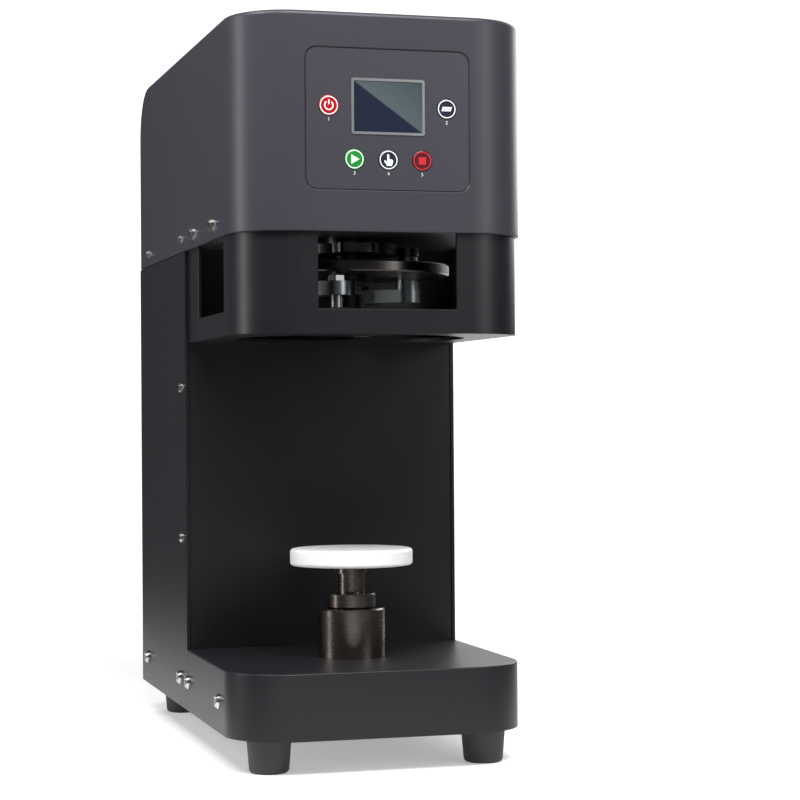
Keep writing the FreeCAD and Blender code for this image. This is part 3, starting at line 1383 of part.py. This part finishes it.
def pulley_profile(diameter, bore):
    edge = "belt_width + 0.6"
    rim, lip = f"{diameter} / 2", f"{diameter} / 2 + 2"
    return [(bore, "-pulley_flange - 2"), (f"({bore}) + 4", "-pulley_flange - 2"),
            (f"({bore}) + 4", "-pulley_flange"), (rim, "-pulley_flange"), (rim, edge), (lip, edge),
            (lip, f"{edge} + pulley_flange"), (bore, f"{edge} + pulley_flange")]


def make_belt_drive():
    turned("pinion_pulley", pulley_profile("large_pulley_diameter", "pinion_shaft_diameter / 2"),
           y="pinion_y", z="pulley_low")
    rotor = turned("motor_rotor", pulley_profile("motor_pulley_diameter", "motor_shaft_diameter / 2 - 1"),
                   y="motor_y", z="pulley_low")
    shaft = new_sketch(rotor, "XY_Plane", "plate_low + 13 - motor_length - pulley_low")
    add_circle(shaft, "0", "0", "motor_shaft_diameter")
    pad(rotor, shaft, "pulley_low + belt_width + pulley_flange + 2 - plate_low - 13 + motor_length")
    belt = new_body("drive_belt", "0", "pinion_y", "pulley_low + 0.3")
    reach = mm("motor_reach")
    gap, thick = mm("contact_gap"), mm("belt_thickness")
    sketch = new_sketch(belt)
    for extra in (gap + thick, gap):
        large = mm("large_pulley_diameter / 2") + extra
        small = mm("motor_pulley_diameter / 2") + extra
        lean = math.asin((large - small) / reach)
        c, s = math.cos(lean), math.sin(lean)
        a, b = Vector(large * c, large * s, 0), Vector(small * c, reach + small * s, 0)
        mirror = [Vector(-p.x, p.y, 0) for p in (a, b)]
        sketch.addGeometry(Part.Arc(mirror[0], Vector(0, -large, 0), a))
        sketch.addGeometry(Part.LineSegment(a, b))
        sketch.addGeometry(Part.Arc(b, Vector(0, reach + small, 0), mirror[1]))
        sketch.addGeometry(Part.LineSegment(mirror[1], mirror[0]))
    pad(belt, sketch, "belt_width")
    case = turned("drive_motor", [
        ("motor_shaft_diameter / 2 + contact_gap", "-8"), ("motor_diameter / 2 - 3", "-8"),
        ("motor_diameter / 2 - 3", "-motor_length * 0.3"), ("motor_diameter / 2", "-motor_length * 0.3"),
        ("motor_diameter / 2", "-motor_length * 0.85"), ("motor_diameter / 2 - 4", "-motor_length"),
        ("0", "-motor_length"), ("0", "-motor_length + 12"),
        ("motor_shaft_diameter / 2 + contact_gap", "-motor_length + 12")], y="motor_y", z="plate_low")
    square = new_sketch(case, "XY_Plane", "-8")
    half = "motor_diameter / 2"
    add_polygon(square, rectangle(f"-({half})", half, f"-({half})", half))
    add_circle(square, "0", "0", "motor_shaft_diameter + 2 * contact_gap")
    pad(case, square, "8")
    boss = new_sketch(case)
    add_circle(boss, "0", "0", "motor_boss_diameter")
    add_circle(boss, "0", "0", "motor_shaft_diameter + 2 * running_clearance")
    pad(case, boss, "plate_thickness")


# ---------------------------------------------------------------------------
# Build, check and write
# ---------------------------------------------------------------------------
fill_sheet()
make_upper_cover()
make_lower_cover()
make_guard_bottom()
make_column_side("column_side_left", -1)
make_column_side("column_side_right", 1)
make_front_panel()
make_rear_cover()
make_power_inlet()
make_base_shell()
make_base_pan()
make_feet()
make_screws("large_screws", "large", HOOD_LARGE + PANEL_LARGE + SHELL_LARGE)
make_screws("small_screws", "small", HOOD_SMALL + COLUMN_SMALL)
make_panel()
make_main_plate()
make_frame_plates()
make_guide_sleeve()
make_lift_rod()
make_tray()
make_lever()
make_lift_drive()
make_chuck()
make_turret()
make_arm(1, 0)
make_arm(2, 180)
make_cam()
make_housing()
make_gears()
make_belt_drive()
document.recompute()

os.makedirs("parts", exist_ok=True)
for label, item in parts.items():
    shape = item.Shape
    broken = [state for state in item.State if state in ("Invalid", "Error")]
    if broken or shape.isNull() or not shape.isValid() or not shape.Solids:
        raise RuntimeError(f"{label} is not sound: {item.State}")
    shape.exportStep(f"parts/{label}.step")
print(f"{len(parts)} sub-parts written")
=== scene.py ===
# %% [markdown]
# # A desktop can seamer, dressed for its portrait
#
# The machine is a column with a base below and a hood above, like a letter C. A can stands on
# the white tray, the tray lifts it to a fixed chuck, and a turret with two small rollers runs
# round the lid and folds its edge over. The solids of all those pieces come from the packed
# frame. This lesson gives each of them the finish that the real piece has, and adds what only the
# eye needs: symbols and numerals printed on the panel, and a clean studio.

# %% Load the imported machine
import math

import bpy
from mathutils import Matrix, Vector


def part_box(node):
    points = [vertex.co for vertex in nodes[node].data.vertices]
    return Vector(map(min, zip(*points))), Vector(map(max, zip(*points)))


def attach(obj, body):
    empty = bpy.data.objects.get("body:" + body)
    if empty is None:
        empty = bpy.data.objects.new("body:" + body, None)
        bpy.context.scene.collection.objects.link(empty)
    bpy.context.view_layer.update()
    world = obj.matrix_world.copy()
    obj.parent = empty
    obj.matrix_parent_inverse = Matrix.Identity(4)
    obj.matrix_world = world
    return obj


MM = 0.001
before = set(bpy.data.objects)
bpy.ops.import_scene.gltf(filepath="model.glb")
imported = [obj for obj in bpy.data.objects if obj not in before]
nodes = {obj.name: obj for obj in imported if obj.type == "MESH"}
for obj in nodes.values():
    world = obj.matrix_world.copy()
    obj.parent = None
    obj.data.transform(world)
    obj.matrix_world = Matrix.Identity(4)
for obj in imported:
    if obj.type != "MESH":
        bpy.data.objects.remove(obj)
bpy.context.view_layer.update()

# %% [markdown]
# ## One small helper for shader nodes
#
# A material is a little graph. Adding a node always takes the same steps: make it, set its
# properties, then fill its inputs with numbers or with links from other nodes. One function
# does all three, so each finish below stays short enough to read as a recipe.

# %% The node helper and honest colours
def add_node(tree, kind, inputs=None, **settings):
    """Adds a node; an input given as a socket is linked, anything else is its value."""
    node = tree.nodes.new(kind)
    for name, value in settings.items():
        setattr(node, name, value)
    for name, value in (inputs or {}).items():
        if isinstance(value, bpy.types.NodeSocket):
            tree.links.new(value, node.inputs[name])
        else:
            node.inputs[name].default_value = value
    return node


def linear(code):
    """The linear colour of an sRGB hex code such as '#2b2a30'."""
    channels = [int(code[i:i + 2], 16) / 255 for i in (1, 3, 5)]
    return [c / 12.92 if c <= 0.04045 else ((c + 0.055) / 1.055) ** 2.4 for c in channels] + [1.0]


def start_material(name):
    """An empty material: its tree, its shader and the piece's own coordinates in metres."""
    material = bpy.data.materials.new(name)
    material.use_nodes = True
    tree = material.node_tree
    shader = tree.nodes["Principled BSDF"]
    place = add_node(tree, "ShaderNodeTexCoord").outputs["Object"]
    return material, tree, shader, place


def per_metre(size_mm):
    """A texture scale that gives features of this size."""
    return 1.0 / (size_mm * MM)


print("helpers: add_node, linear, start_material, per_metre")

# %% [markdown]
# ## Powder coat
#
# The casing is steel sheet with a satin anthracite powder coat. Powder melts into a skin with a
# very fine orange peel, about half a millimetre from crest to crest, and a sheen that is broad,
# not mirror-like. So the recipe is a dark base, a roughness that wanders a little, and a bump a
# few microns deep. The hood is a shade lighter than the parts below it: partly a real difference
# between the coats, partly painted light, the lit upper casing against the shaded lower parts.

# %% Powder coat for the casing
def powder_coat(name, light, dark, roughness):
    """A satin coat between two near shades, with a fine orange peel."""
    material, tree, shader, place = start_material(name)
    cloud = add_node(tree, "ShaderNodeTexNoise", {"Vector": place, "Scale": per_metre(90),
                                                  "Detail": 2.0})
    shade = add_node(tree, "ShaderNodeMix", {0: cloud.outputs["Fac"], 6: linear(dark),
                                             7: linear(light)}, data_type="RGBA")
    tree.links.new(shade.outputs[2], shader.inputs["Base Color"])
    peel = add_node(tree, "ShaderNodeTexNoise", {"Vector": place, "Scale": per_metre(0.9),
                                                 "Detail": 2.0})
    sheen = add_node(tree, "ShaderNodeMapRange", {"Value": peel.outputs["Fac"],
                                                  "To Min": roughness - 0.04,
                                                  "To Max": roughness + 0.05})
    tree.links.new(sheen.outputs["Result"], shader.inputs["Roughness"])
    bump = add_node(tree, "ShaderNodeBump", {"Strength": 0.35, "Distance": 0.012 * MM,
                                             "Height": peel.outputs["Fac"]})
    tree.links.new(bump.outputs["Normal"], shader.inputs["Normal"])
    shader.inputs["Specular IOR Level"].default_value = 0.3
    return material


# The hood's lighter colour is partly painted light: a lit hood above shaded lower parts.
hood_coat_painted_lighter = powder_coat("powder_coat_anthracite_painted_lighter", "#3c3a41", "#37353c", 0.38)
body_coat = powder_coat("powder_coat_graphite", "#1b1a1e", "#18171b", 0.38)
print("powder coats ready")

# %% [markdown]
# ## Turned, ground and plated metal
#
# Every metal here was cut by a tool, and the tool left lines. A lathe leaves rings round the
# axis, so the lines follow the height along the post; a grinder leaves straight ones. Stretching
# a noise by a large factor along one axis gives such lines. The same recipe makes bright plated
# screws if the lines are faint and the roughness is low.

# %% Metal with tool marks
def worked_metal(name, light, dark, roughness, line_mm, stretch, depth_mm=0.004):
    """Metal whose tool marks are line_mm apart and drawn out by the stretch along each axis."""
    material, tree, shader, place = start_material(name)
    drawn = add_node(tree, "ShaderNodeMapping", {"Vector": place, "Scale": stretch})
    marks = add_node(tree, "ShaderNodeTexNoise", {"Vector": drawn.outputs["Vector"],
                                                  "Scale": per_metre(line_mm), "Detail": 3.0})
    cloud = add_node(tree, "ShaderNodeTexNoise", {"Vector": place, "Scale": per_metre(35),
                                                  "Detail": 3.0})
    both = add_node(tree, "ShaderNodeMath", {0: marks.outputs["Fac"], 1: cloud.outputs["Fac"]},
                    operation="MULTIPLY_ADD")
    both.inputs[2].default_value = 0.2
    shade = add_node(tree, "ShaderNodeMix", {0: both.outputs[0], 6: linear(dark), 7: linear(light)},
                     data_type="RGBA")
    tree.links.new(shade.outputs[2], shader.inputs["Base Color"])
    shader.inputs["Metallic"].default_value = 1.0
    sheen = add_node(tree, "ShaderNodeMapRange", {"Value": marks.outputs["Fac"],
                                                  "To Min": roughness - 0.06,
                                                  "To Max": roughness + 0.08})
    tree.links.new(sheen.outputs["Result"], shader.inputs["Roughness"])
    bump = add_node(tree, "ShaderNodeBump", {"Strength": 0.4, "Distance": depth_mm * MM,
                                             "Height": marks.outputs["Fac"]})
    tree.links.new(bump.outputs["Normal"], shader.inputs["Normal"])
    return material


RINGS = (0.03, 0.03, 1.0)
ALONG_Y = (1.0, 0.03, 1.0)
ANY_WAY = (1.0, 1.0, 1.0)
stainless = worked_metal("turned_stainless_steel", "#78706a", "#5a534d", 0.26, 0.5, RINGS)
nickel = worked_metal("nickel_plated_steel", "#cfcdc9", "#b0aeab", 0.20, 0.6, ANY_WAY, 0.001)
zinc = worked_metal("zinc_plated_steel", "#9fa2a3", "#7c8083", 0.36, 1.6, ANY_WAY)
tool_steel = worked_metal("ground_tool_steel", "#5d5955", "#3b3836", 0.28, 0.5, RINGS)
plate_metal = worked_metal("milled_aluminium", "#b2b4b6", "#93969a", 0.36, 0.8, ALONG_Y)
bronze = worked_metal("sintered_bronze", "#9b7544", "#7b5a31", 0.42, 0.4, ANY_WAY)
silver = worked_metal("satin_silver_trim", "#d9dadb", "#c6c8ca", 0.30, 0.4, ANY_WAY, 0.001)
print("metals ready")

# %% [markdown]
# ## Plastics, rubber and paint
#
# These are all the same idea with other numbers: a body colour that varies slightly, a
# roughness, and a grain whose size is the real texture of the mould or the cut. The tray is
# machined nylon, so its grain is faint rings; the feet are moulded rubber with a dull, slightly
# mottled skin.

# %% Plastics and rubber
def moulded(name, light, dark, roughness, grain_mm, depth_mm, coat=0.0, stretch=ANY_WAY):
    """Plastic, rubber or paint with a grain grain_mm wide and depth_mm deep."""
    material, tree, shader, place = start_material(name)
    drawn = add_node(tree, "ShaderNodeMapping", {"Vector": place, "Scale": stretch})
    grain = add_node(tree, "ShaderNodeTexNoise", {"Vector": drawn.outputs["Vector"],
                                                  "Scale": per_metre(grain_mm), "Detail": 2.0})
    shade = add_node(tree, "ShaderNodeMix", {0: grain.outputs["Fac"], 6: linear(dark),
                                             7: linear(light)}, data_type="RGBA")
    tree.links.new(shade.outputs[2], shader.inputs["Base Color"])
    sheen = add_node(tree, "ShaderNodeMapRange", {"Value": grain.outputs["Fac"],
                                                  "To Min": roughness - 0.05,
                                                  "To Max": roughness + 0.05})
    tree.links.new(sheen.outputs["Result"], shader.inputs["Roughness"])
    bump = add_node(tree, "ShaderNodeBump", {"Strength": 0.5, "Distance": depth_mm * MM,
                                             "Height": grain.outputs["Fac"]})
    tree.links.new(bump.outputs["Normal"], shader.inputs["Normal"])
    shader.inputs["Coat Weight"].default_value = coat
    return material


rubber = moulded("moulded_rubber", "#2b2b2d", "#202022", 0.62, 1.2, 0.03)
nylon = moulded("machined_white_nylon", "#f4f4f3", "#eaeae9", 0.38, 0.8, 0.004, stretch=RINGS)
film = moulded("satin_polyester_film", "#36343c", "#323039", 0.42, 0.7, 0.002)
black_plastic = moulded("moulded_black_plastic", "#1c1c1d", "#141415", 0.45, 0.8, 0.01)
motor_enamel = moulded("black_motor_enamel", "#212225", "#18191b", 0.35, 2.0, 0.02)
belt_rubber = moulded("neoprene_belt", "#19191a", "#101011", 0.65, 0.6, 0.02)
board_green = moulded("solder_mask_green", "#17452c", "#123a24", 0.32, 1.5, 0.004)
key_red = moulded("glossy_red_key", "#b3121c", "#a30f18", 0.22, 4.0, 0.001, 0.6)
key_green = moulded("glossy_green_key", "#1e8c33", "#1a7f2d", 0.22, 4.0, 0.001, 0.6)
key_dark = moulded("glossy_blue_black_key", "#232a3b", "#1c2231", 0.22, 4.0, 0.001, 0.6)
key_maroon = moulded("glossy_maroon_key", "#5a1720", "#4c121a", 0.24, 4.0, 0.001, 0.5)
ink_white = moulded("white_screen_ink", "#f2f2f2", "#e6e6e6", 0.45, 0.5, 0.001)
ink_red = moulded("red_screen_ink", "#c5222b", "#b81c25", 0.40, 0.5, 0.001)
print("plastics ready")

# %% [markdown]
# ## The display
#
# A switched-off display is a dark blue-grey pane. Its upper right half is painted greyer, a painted
# reflection of the room, lightest at the diagonal and darker toward the far corner. That is a
# straight change of tint across a diagonal, so the recipe compares two of the piece's own
# coordinates, measured from the pane's corners.

# %% The display pane
def display_pane(name):
    """A dark pane with a painted reflection: grey above its diagonal, darker toward that corner."""
    low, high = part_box("display_glass")
    material, tree, shader, place = start_material(name)
    axes = add_node(tree, "ShaderNodeSeparateXYZ", {"Vector": place})
    across = add_node(tree, "ShaderNodeMapRange", {"Value": axes.outputs["X"], "From Min": low.x,
                                                   "From Max": high.x})
    up = add_node(tree, "ShaderNodeMapRange", {"Value": axes.outputs["Z"], "From Min": low.z,
                                               "From Max": high.z})
    total = add_node(tree, "ShaderNodeMath", {0: across.outputs["Result"], 1: up.outputs["Result"]},
                     operation="ADD")
    # Painted reflection: above the diagonal the dark blue pane (#1d2334) gives way to a grey tint,
    # lighter near the diagonal (#5c6669) and darker at the upper right corner (#3d474a).
    side = add_node(tree, "ShaderNodeMapRange", {"Value": total.outputs[0], "From Min": 0.985,
                                                 "From Max": 1.015})
    painted_reflection_falloff = add_node(tree, "ShaderNodeMapRange", {"Value": total.outputs[0], "From Min": 0.0,
                                                 "From Max": 2.0})
    pane = add_node(tree, "ShaderNodeMix", {0: painted_reflection_falloff.outputs["Result"], 6: linear("#5c6669"),
                                            7: linear("#3d474a")}, data_type="RGBA")
    lit = add_node(tree, "ShaderNodeMix", {0: side.outputs["Result"], 6: linear("#1d2334"),
                                           7: pane.outputs[2]}, data_type="RGBA")
    tree.links.new(lit.outputs[2], shader.inputs["Base Color"])
    shader.inputs["Roughness"].default_value = 0.12
    shader.inputs["Coat Weight"].default_value = 0.5
    return material


display = display_pane("display_window_painted_reflection")
print("display pane ready")

# %% [markdown]
# ## Dress the solids
#
# The frame's solids already have the true shapes, so most of them only need their finish. One
# table says which piece wears what. A bevel that only bends the shading, not the outline, would
# be wasted here: the radii that matter are already in the solids.

# %% Give each solid its finish
FINISH = [
    (hood_coat_painted_lighter, ["upper_cover"]),
    (body_coat, ["lower_cover", "guard_bottom", "column_side_left", "column_side_right",
                 "column_front_panel", "rear_cover", "base_shell"]),
    (zinc, ["base_pan", "frame_plates", "lift_lever", "lever_bracket", "chuck_bridge",
            "seaming_arm_1", "seaming_arm_2", "follower_arm_1", "follower_arm_2"]),
    (rubber, ["rubber_feet"]),
    (nickel, ["large_screws", "small_screws", "collar_screw"]),
    (stainless, ["guide_sleeve", "lift_rod", "rod_collar", "tray_stem", "chuck_shaft"]),
    (tool_steel, ["seaming_chuck", "turret_disc", "turret_spindle", "seaming_roller_1",
                  "seaming_roller_2", "cam_follower_1", "cam_follower_2", "seaming_cam",
                  "spindle_bearings", "turret_gear", "cam_gear", "pinion_shaft", "motor_rotor",
                  "lever_roller", "lift_cam"]),
    (plate_metal, ["main_plate", "spindle_housing", "pinion_pulley"]),
    (bronze, ["spindle_bushes", "pinion_bush"]),
    (nylon, ["can_tray"]),
    (film, ["panel_overlay"]),
    (silver, ["display_bezel"]),
    (display, ["display_glass"]),
    (board_green, ["key_board"]),
    (black_plastic, ["power_inlet"]),
    (motor_enamel, ["drive_motor", "lift_motor"]),
    (belt_rubber, ["drive_belt"]),
    (key_red, ["power_key"]),
    (key_green, ["start_key"]),
    (key_dark, ["clear_key", "manual_key"]),
    (key_maroon, ["stop_key"]),
]
for material, members in FINISH:
    for name in members:
        nodes[name].data.materials.clear()
        nodes[name].data.materials.append(material)
print("dressed:", sum(len(members) for _, members in FINISH), "of", len(nodes))

# %% [markdown]
# ## Printed symbols on the keys
#
# Each key carries a white ring and a symbol, printed in thick ink that stands a few hundredths
# of a millimetre proud. A filled flat curve is the easy way: outlines inside outlines become
# holes by themselves. The curve is drawn flat, made a mesh, and only then stood up against the
# key's face, so the finished piece sits at the origin like every other.

# %% Ink helper
INK = 0.06 * MM


def circle(x, z, radius, start=0, end=360, steps=40):
    """Points of a circle, or of an arc with both its ends."""
    count = steps + (end - start < 360)
    angles = [math.radians(start + (end - start) * i / steps) for i in range(count)]
    return [(x + radius * math.cos(a), z + radius * math.sin(a)) for a in angles]


def stand_up(name, curve, x, z, front, material, body):
    """Makes flat work a mesh and stands it against a face, its middle moved to x and z."""
    flat = bpy.data.objects.new(name, curve)
    bpy.context.scene.collection.objects.link(flat)
    mesh = bpy.data.meshes.new_from_object(
        flat.evaluated_get(bpy.context.evaluated_depsgraph_get()))
    bpy.data.objects.remove(flat)
    mesh.transform(Matrix(((1, 0, 0, x * MM), (0, 0, -1, front - INK / 2), (0, 1, 0, z * MM),
                           (0, 0, 0, 1))))
    piece = bpy.data.objects.new(name, mesh)
    bpy.context.scene.collection.objects.link(piece)
    mesh.materials.clear()
    mesh.materials.append(material)
    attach(piece, body)


def print_ink(name, outlines, front, material, body):
    """A thin inlay from outlines in millimetres, in the X-Z plane, standing proud of a face."""
    curve = bpy.data.curves.new(name, "CURVE")
    curve.dimensions = "2D"
    curve.fill_mode = "BOTH"
    curve.extrude = INK / 2
    for outline in outlines:
        spline = curve.splines.new("POLY")
        spline.points.add(len(outline) - 1)
        for point, (x, z) in zip(spline.points, outline):
            point.co = (x * MM, z * MM, 0, 1)
        spline.use_cyclic_u = True
    stand_up(name, curve, 0, 0, front, material, body)


def middle(node):
    """The middle of a solid's box in millimetres."""
    low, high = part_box(node)
    return (low + high) / 2 / MM


print("ink stands proud by", round(INK / MM, 3), "mm")

# %% Rings and symbols
KEY_RADIUS = 7.1
RING_OUTER = KEY_RADIUS - 0.65
RING_INNER = KEY_RADIUS - 1.35


def arc_band(x, z, outer, inner, start, end):
    """A band between two arcs."""
    return circle(x, z, outer, start, end) + circle(x, z, inner, start, end)[::-1]


def symbol_power(x, z):
    """An open ring with a stroke at its top."""
    return [arc_band(x, z, 3.4, 2.5, 125, 415), [(x - 0.45, z + 0.6), (x + 0.45, z + 0.6),
                                                 (x + 0.45, z + 4.0), (x - 0.45, z + 4.0)]]


def symbol_start(x, z):
    """A triangle that points right."""
    return [[(x - 2.3, z - 3.4), (x + 3.6, z), (x - 2.3, z + 3.4)]]


def symbol_stop(x, z):
    """A square."""
    return [[(x - 2.6, z - 2.6), (x + 2.6, z - 2.6), (x + 2.6, z + 2.6), (x - 2.6, z + 2.6)]]


def symbol_hand(x, z):
    """A pointing hand: one finger up, and a palm with a thumb."""
    outline = [(-0.6, 4.0), (0.2, 4.0), (0.5, 3.6), (0.5, 0.6), (1.9, 0.5), (3.1, 0.0), (3.3, -1.2),
               (2.7, -3.0), (2.4, -4.1), (-1.2, -4.1), (-1.9, -2.9), (-3.2, -1.1), (-3.1, -0.4),
               (-2.4, -0.2), (-1.0, -1.3), (-1.0, 3.6)]
    return [[(x + a, z + b) for a, b in outline]]


def symbol_clear(x, z):
    """A lying lozenge with two strokes: wipe the counter."""
    body = [(x - 3.9, z - 1.5), (x + 2.9, z - 1.5), (x + 3.9, z + 1.5), (x - 2.9, z + 1.5)]
    strokes = [[(x + s - 0.9, z - 0.75), (x + s - 0.35, z - 0.75), (x + s + 0.35, z + 0.75),
                (x + s - 0.2, z + 0.75)] for s in (-1.2, 0.4, 2.0)]
    return [body] + strokes


SYMBOLS = {
    "power_key": (symbol_power, ink_white, "key_red"),
    "clear_key": (symbol_clear, ink_white, "key_dark"),
    "start_key": (symbol_start, ink_white, "key_green"),
    "manual_key": (symbol_hand, ink_white, "key_dark"),
    "stop_key": (symbol_stop, ink_red, "key_red"),
}
for key, (symbol, ink, slot) in SYMBOLS.items():
    where = middle(key)
    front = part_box(key)[0].y
    ring_ink = ink_red if key == "stop_key" else ink_white
    ring = [circle(where.x, where.z, RING_OUTER), circle(where.x, where.z, RING_INNER)]
    print_ink(key + "_ring", ring, front, ring_ink, key)
    print_ink(key + "_symbol", symbol(where.x, where.z), front, ink, key)
print("symbols printed:", len(SYMBOLS))

# %% [markdown]
# ## Numbers under the keys
#
# A plain numeral under each key gives it a number that a manual can call it by.
# Text is a curve too: it is converted to a mesh before it is stood up against the film.

# %% Plain numerals
NUMERAL_HEIGHT = 2.4
NUMERAL_DROP = 2.6
TEXT_SIZE_PER_HEIGHT = 1.4


def print_number(number, x, z, height, front):
    """A numeral of this height in millimetres, its middle at x and z on a face."""
    name = f"key_number_{number}"
    text = bpy.data.curves.new(name, "FONT")
    text.body = str(number)
    text.size = height * MM * TEXT_SIZE_PER_HEIGHT
    text.align_x = "CENTER"
    text.align_y = "CENTER"
    text.extrude = INK / 2
    stand_up(name, text, x, z, front, ink_white, "frame")


film_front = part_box("panel_overlay")[0].y
for number, key in enumerate(SYMBOLS, start=1):
    where = middle(key)
    print_number(number, where.x, where.z - KEY_RADIUS - NUMERAL_DROP, NUMERAL_HEIGHT, film_front)
print("numerals printed:", len(SYMBOLS))

# %% [markdown]
# ## The camera
#
# The camera stands to the left of the machine's front, a little lower than the panel, and looks
# almost level, so uprights stay upright. Its lens is long for a small object, which keeps the
# lines of the hood calm. It comes before the studio, because the backdrop is as wide as its view.

# %% Place the camera
CAMERA_PLACE = Vector((-0.4069, -1.6494, 0.2479))
CAMERA_TURN = math.radians(-15.99)
CAMERA_TILT = math.radians(0.48)
CAMERA_ROLL = math.radians(-0.41)
LENS_TO_FRAME = 2.699
SENSOR_WIDTH = 36.0

level_ahead = Vector((-math.sin(CAMERA_TURN), math.cos(CAMERA_TURN), 0))
ahead = level_ahead * math.cos(CAMERA_TILT) + Vector((0, 0, math.sin(CAMERA_TILT)))
right = Vector((math.cos(CAMERA_TURN), math.sin(CAMERA_TURN), 0))
up = right.cross(ahead)
level_right = right * math.cos(CAMERA_ROLL) + up * math.sin(CAMERA_ROLL)
level_up = up * math.cos(CAMERA_ROLL) - right * math.sin(CAMERA_ROLL)
camera = bpy.data.cameras.new("camera")
camera.sensor_width = SENSOR_WIDTH
camera.lens = SENSOR_WIDTH * LENS_TO_FRAME
camera_object = bpy.data.objects.new("camera", camera)
axes = Matrix((level_right, level_up, -ahead)).transposed()
camera_object.matrix_world = Matrix.Translation(CAMERA_PLACE) @ axes.to_4x4()
bpy.context.scene.collection.objects.link(camera_object)
bpy.context.scene.camera = camera_object
print("camera lens:", round(camera.lens, 1), "mm")

# %% [markdown]
# ## The studio
#
# A product like this is shown on a roll of white paper: flat under the machine, then curving up
# behind it. The roll widens with the camera's view and no further, and the room round it is dim,
# so the dark coat keeps its depth and the metal shows both the paper and the dark. A tall strip at
# the left models the rounded corners, with a small lamp high above it. One lamp above the front
# lights the tray, one at the right puts a slow gradient on the hood, and a large one behind the
# machine lights its other sides.

# %% Lamps
def soft_lamp(name, place, aim, size, power):
    """A rectangular lamp of this size in metres and power in watts, turned to its aim."""
    lamp = bpy.data.lights.new(name, "AREA")
    lamp.shape = "RECTANGLE"
    lamp.size, lamp.size_y = size
    lamp.energy = power
    lamp_object = bpy.data.objects.new(name, lamp)
    lamp_object.location = place
    toward = Vector(aim) - Vector(place)
    lamp_object.rotation_euler = toward.to_track_quat("-Z", "Y").to_euler()
    bpy.context.scene.collection.objects.link(lamp_object)


soft_lamp("lamp_strip_left", (-1.05, 0.05, 0.5), (-0.1, -0.1, 0.4), (0.14, 0.9), 5)
soft_lamp("lamp_high_left", (-0.55, -0.35, 1.1), (-0.1, -0.1, 0.4), (0.35, 0.35), 7)
soft_lamp("lamp_above", (0.05, -1.0, 1.55), (0, -0.1, 0.15), (0.9, 0.6), 32)
soft_lamp("lamp_right_front", (0.75, -1.0, 0.6), (0.05, -0.2, 0.4), (0.4, 0.6), 3.5)
soft_lamp("lamp_behind_right", (1.3, 1.1, 1.0), (0, 0, 0.3), (1.0, 1.0), 14)
print("lamps:", len(bpy.data.lights))

# %% Paper roll and room
ROLL_NEAR = 0.95
ROLL_MARGIN = 1.12
ROLL_SPREAD = 0.5 / LENS_TO_FRAME * ROLL_MARGIN
ROLL_FAR = 2.2
ROLL_BEND = 0.6
ROLL_HEIGHT = 1.6
BEND_STEPS = 12
GLOW_START, GLOW_FULL = 0.5, 1.8
GLOW_NEAR, GLOW_FAR = 0.3, 0.95
ROOM_COLOUR = (0.9, 0.93, 1, 1)
ROOM_LIGHT = 0.12

bend = [(ROLL_FAR + ROLL_BEND * math.sin(a), ROLL_BEND * (1 - math.cos(a)))
        for a in [math.pi / 2 * i / BEND_STEPS for i in range(BEND_STEPS + 1)]]
profile = [(-ROLL_NEAR, 0.0)] + bend + [(ROLL_FAR + ROLL_BEND, ROLL_HEIGHT)]
away = -CAMERA_PLACE.dot(level_ahead)
foot = CAMERA_PLACE + level_ahead * away
corners = [foot + right * side * ROLL_SPREAD * (away + depth) + level_ahead * depth
           for depth, _ in profile for side in (-1, 1)]
heights = [height for _, height in profile for _ in (0, 1)]
points = [(corner.x, corner.y, height) for corner, height in zip(corners, heights)]
paper_mesh = bpy.data.meshes.new("paper_roll")
strips = [(i, i + 1, i + 3, i + 2) for i in range(0, len(points) - 2, 2)]
paper_mesh.from_pydata(points, [], strips)
paper = bpy.data.objects.new("paper_roll", paper_mesh)
bpy.context.scene.collection.objects.link(paper)


def backdrop_rays(tree):
    """1 for rays that look at the backdrop: the camera's, and those off metal or through glass."""
    rays = add_node(tree, "ShaderNodeLightPath")
    either = add_node(tree, "ShaderNodeMath", {0: rays.outputs["Is Camera Ray"],
                                               1: rays.outputs["Is Glossy Ray"]},
                      operation="MAXIMUM")
    every = add_node(tree, "ShaderNodeMath", {0: either.outputs[0],
                                              1: rays.outputs["Is Transmission Ray"]},
                     operation="MAXIMUM")
    return every.outputs[0]


paper_white, paper_tree, paper_shader, paper_place = start_material("white_paper")
paper_shader.inputs["Base Color"].default_value = linear("#f4f4f4")
paper_shader.inputs["Roughness"].default_value = 0.9
reach = add_node(paper_tree, "ShaderNodeVectorMath", {0: paper_place}, operation="LENGTH")
lift = add_node(paper_tree, "ShaderNodeMapRange", {"Value": reach.outputs["Value"],
                                                   "From Min": GLOW_START, "From Max": GLOW_FULL,
                                                   "To Min": GLOW_NEAR, "To Max": GLOW_FAR})
glow = add_node(paper_tree, "ShaderNodeEmission", {"Color": (1, 1, 1, 1),
                                                   "Strength": lift.outputs["Result"]})
lit = add_node(paper_tree, "ShaderNodeAddShader", {0: paper_shader.outputs[0], 1: glow.outputs[0]})
seen = add_node(paper_tree, "ShaderNodeMixShader", {0: backdrop_rays(paper_tree),
                                                    1: paper_shader.outputs[0], 2: lit.outputs[0]})
paper_tree.links.new(seen.outputs[0], paper_tree.nodes["Material Output"].inputs["Surface"])
paper_mesh.materials.append(paper_white)

room = bpy.data.worlds.new("dim_room")
bpy.context.scene.world = room
room.use_nodes = True
room.node_tree.nodes["Background"].inputs["Color"].default_value = ROOM_COLOUR
room.node_tree.nodes["Background"].inputs["Strength"].default_value = ROOM_LIGHT
bpy.context.scene.view_settings.view_transform = "Standard"
print("paper roll strips:", len(strips))
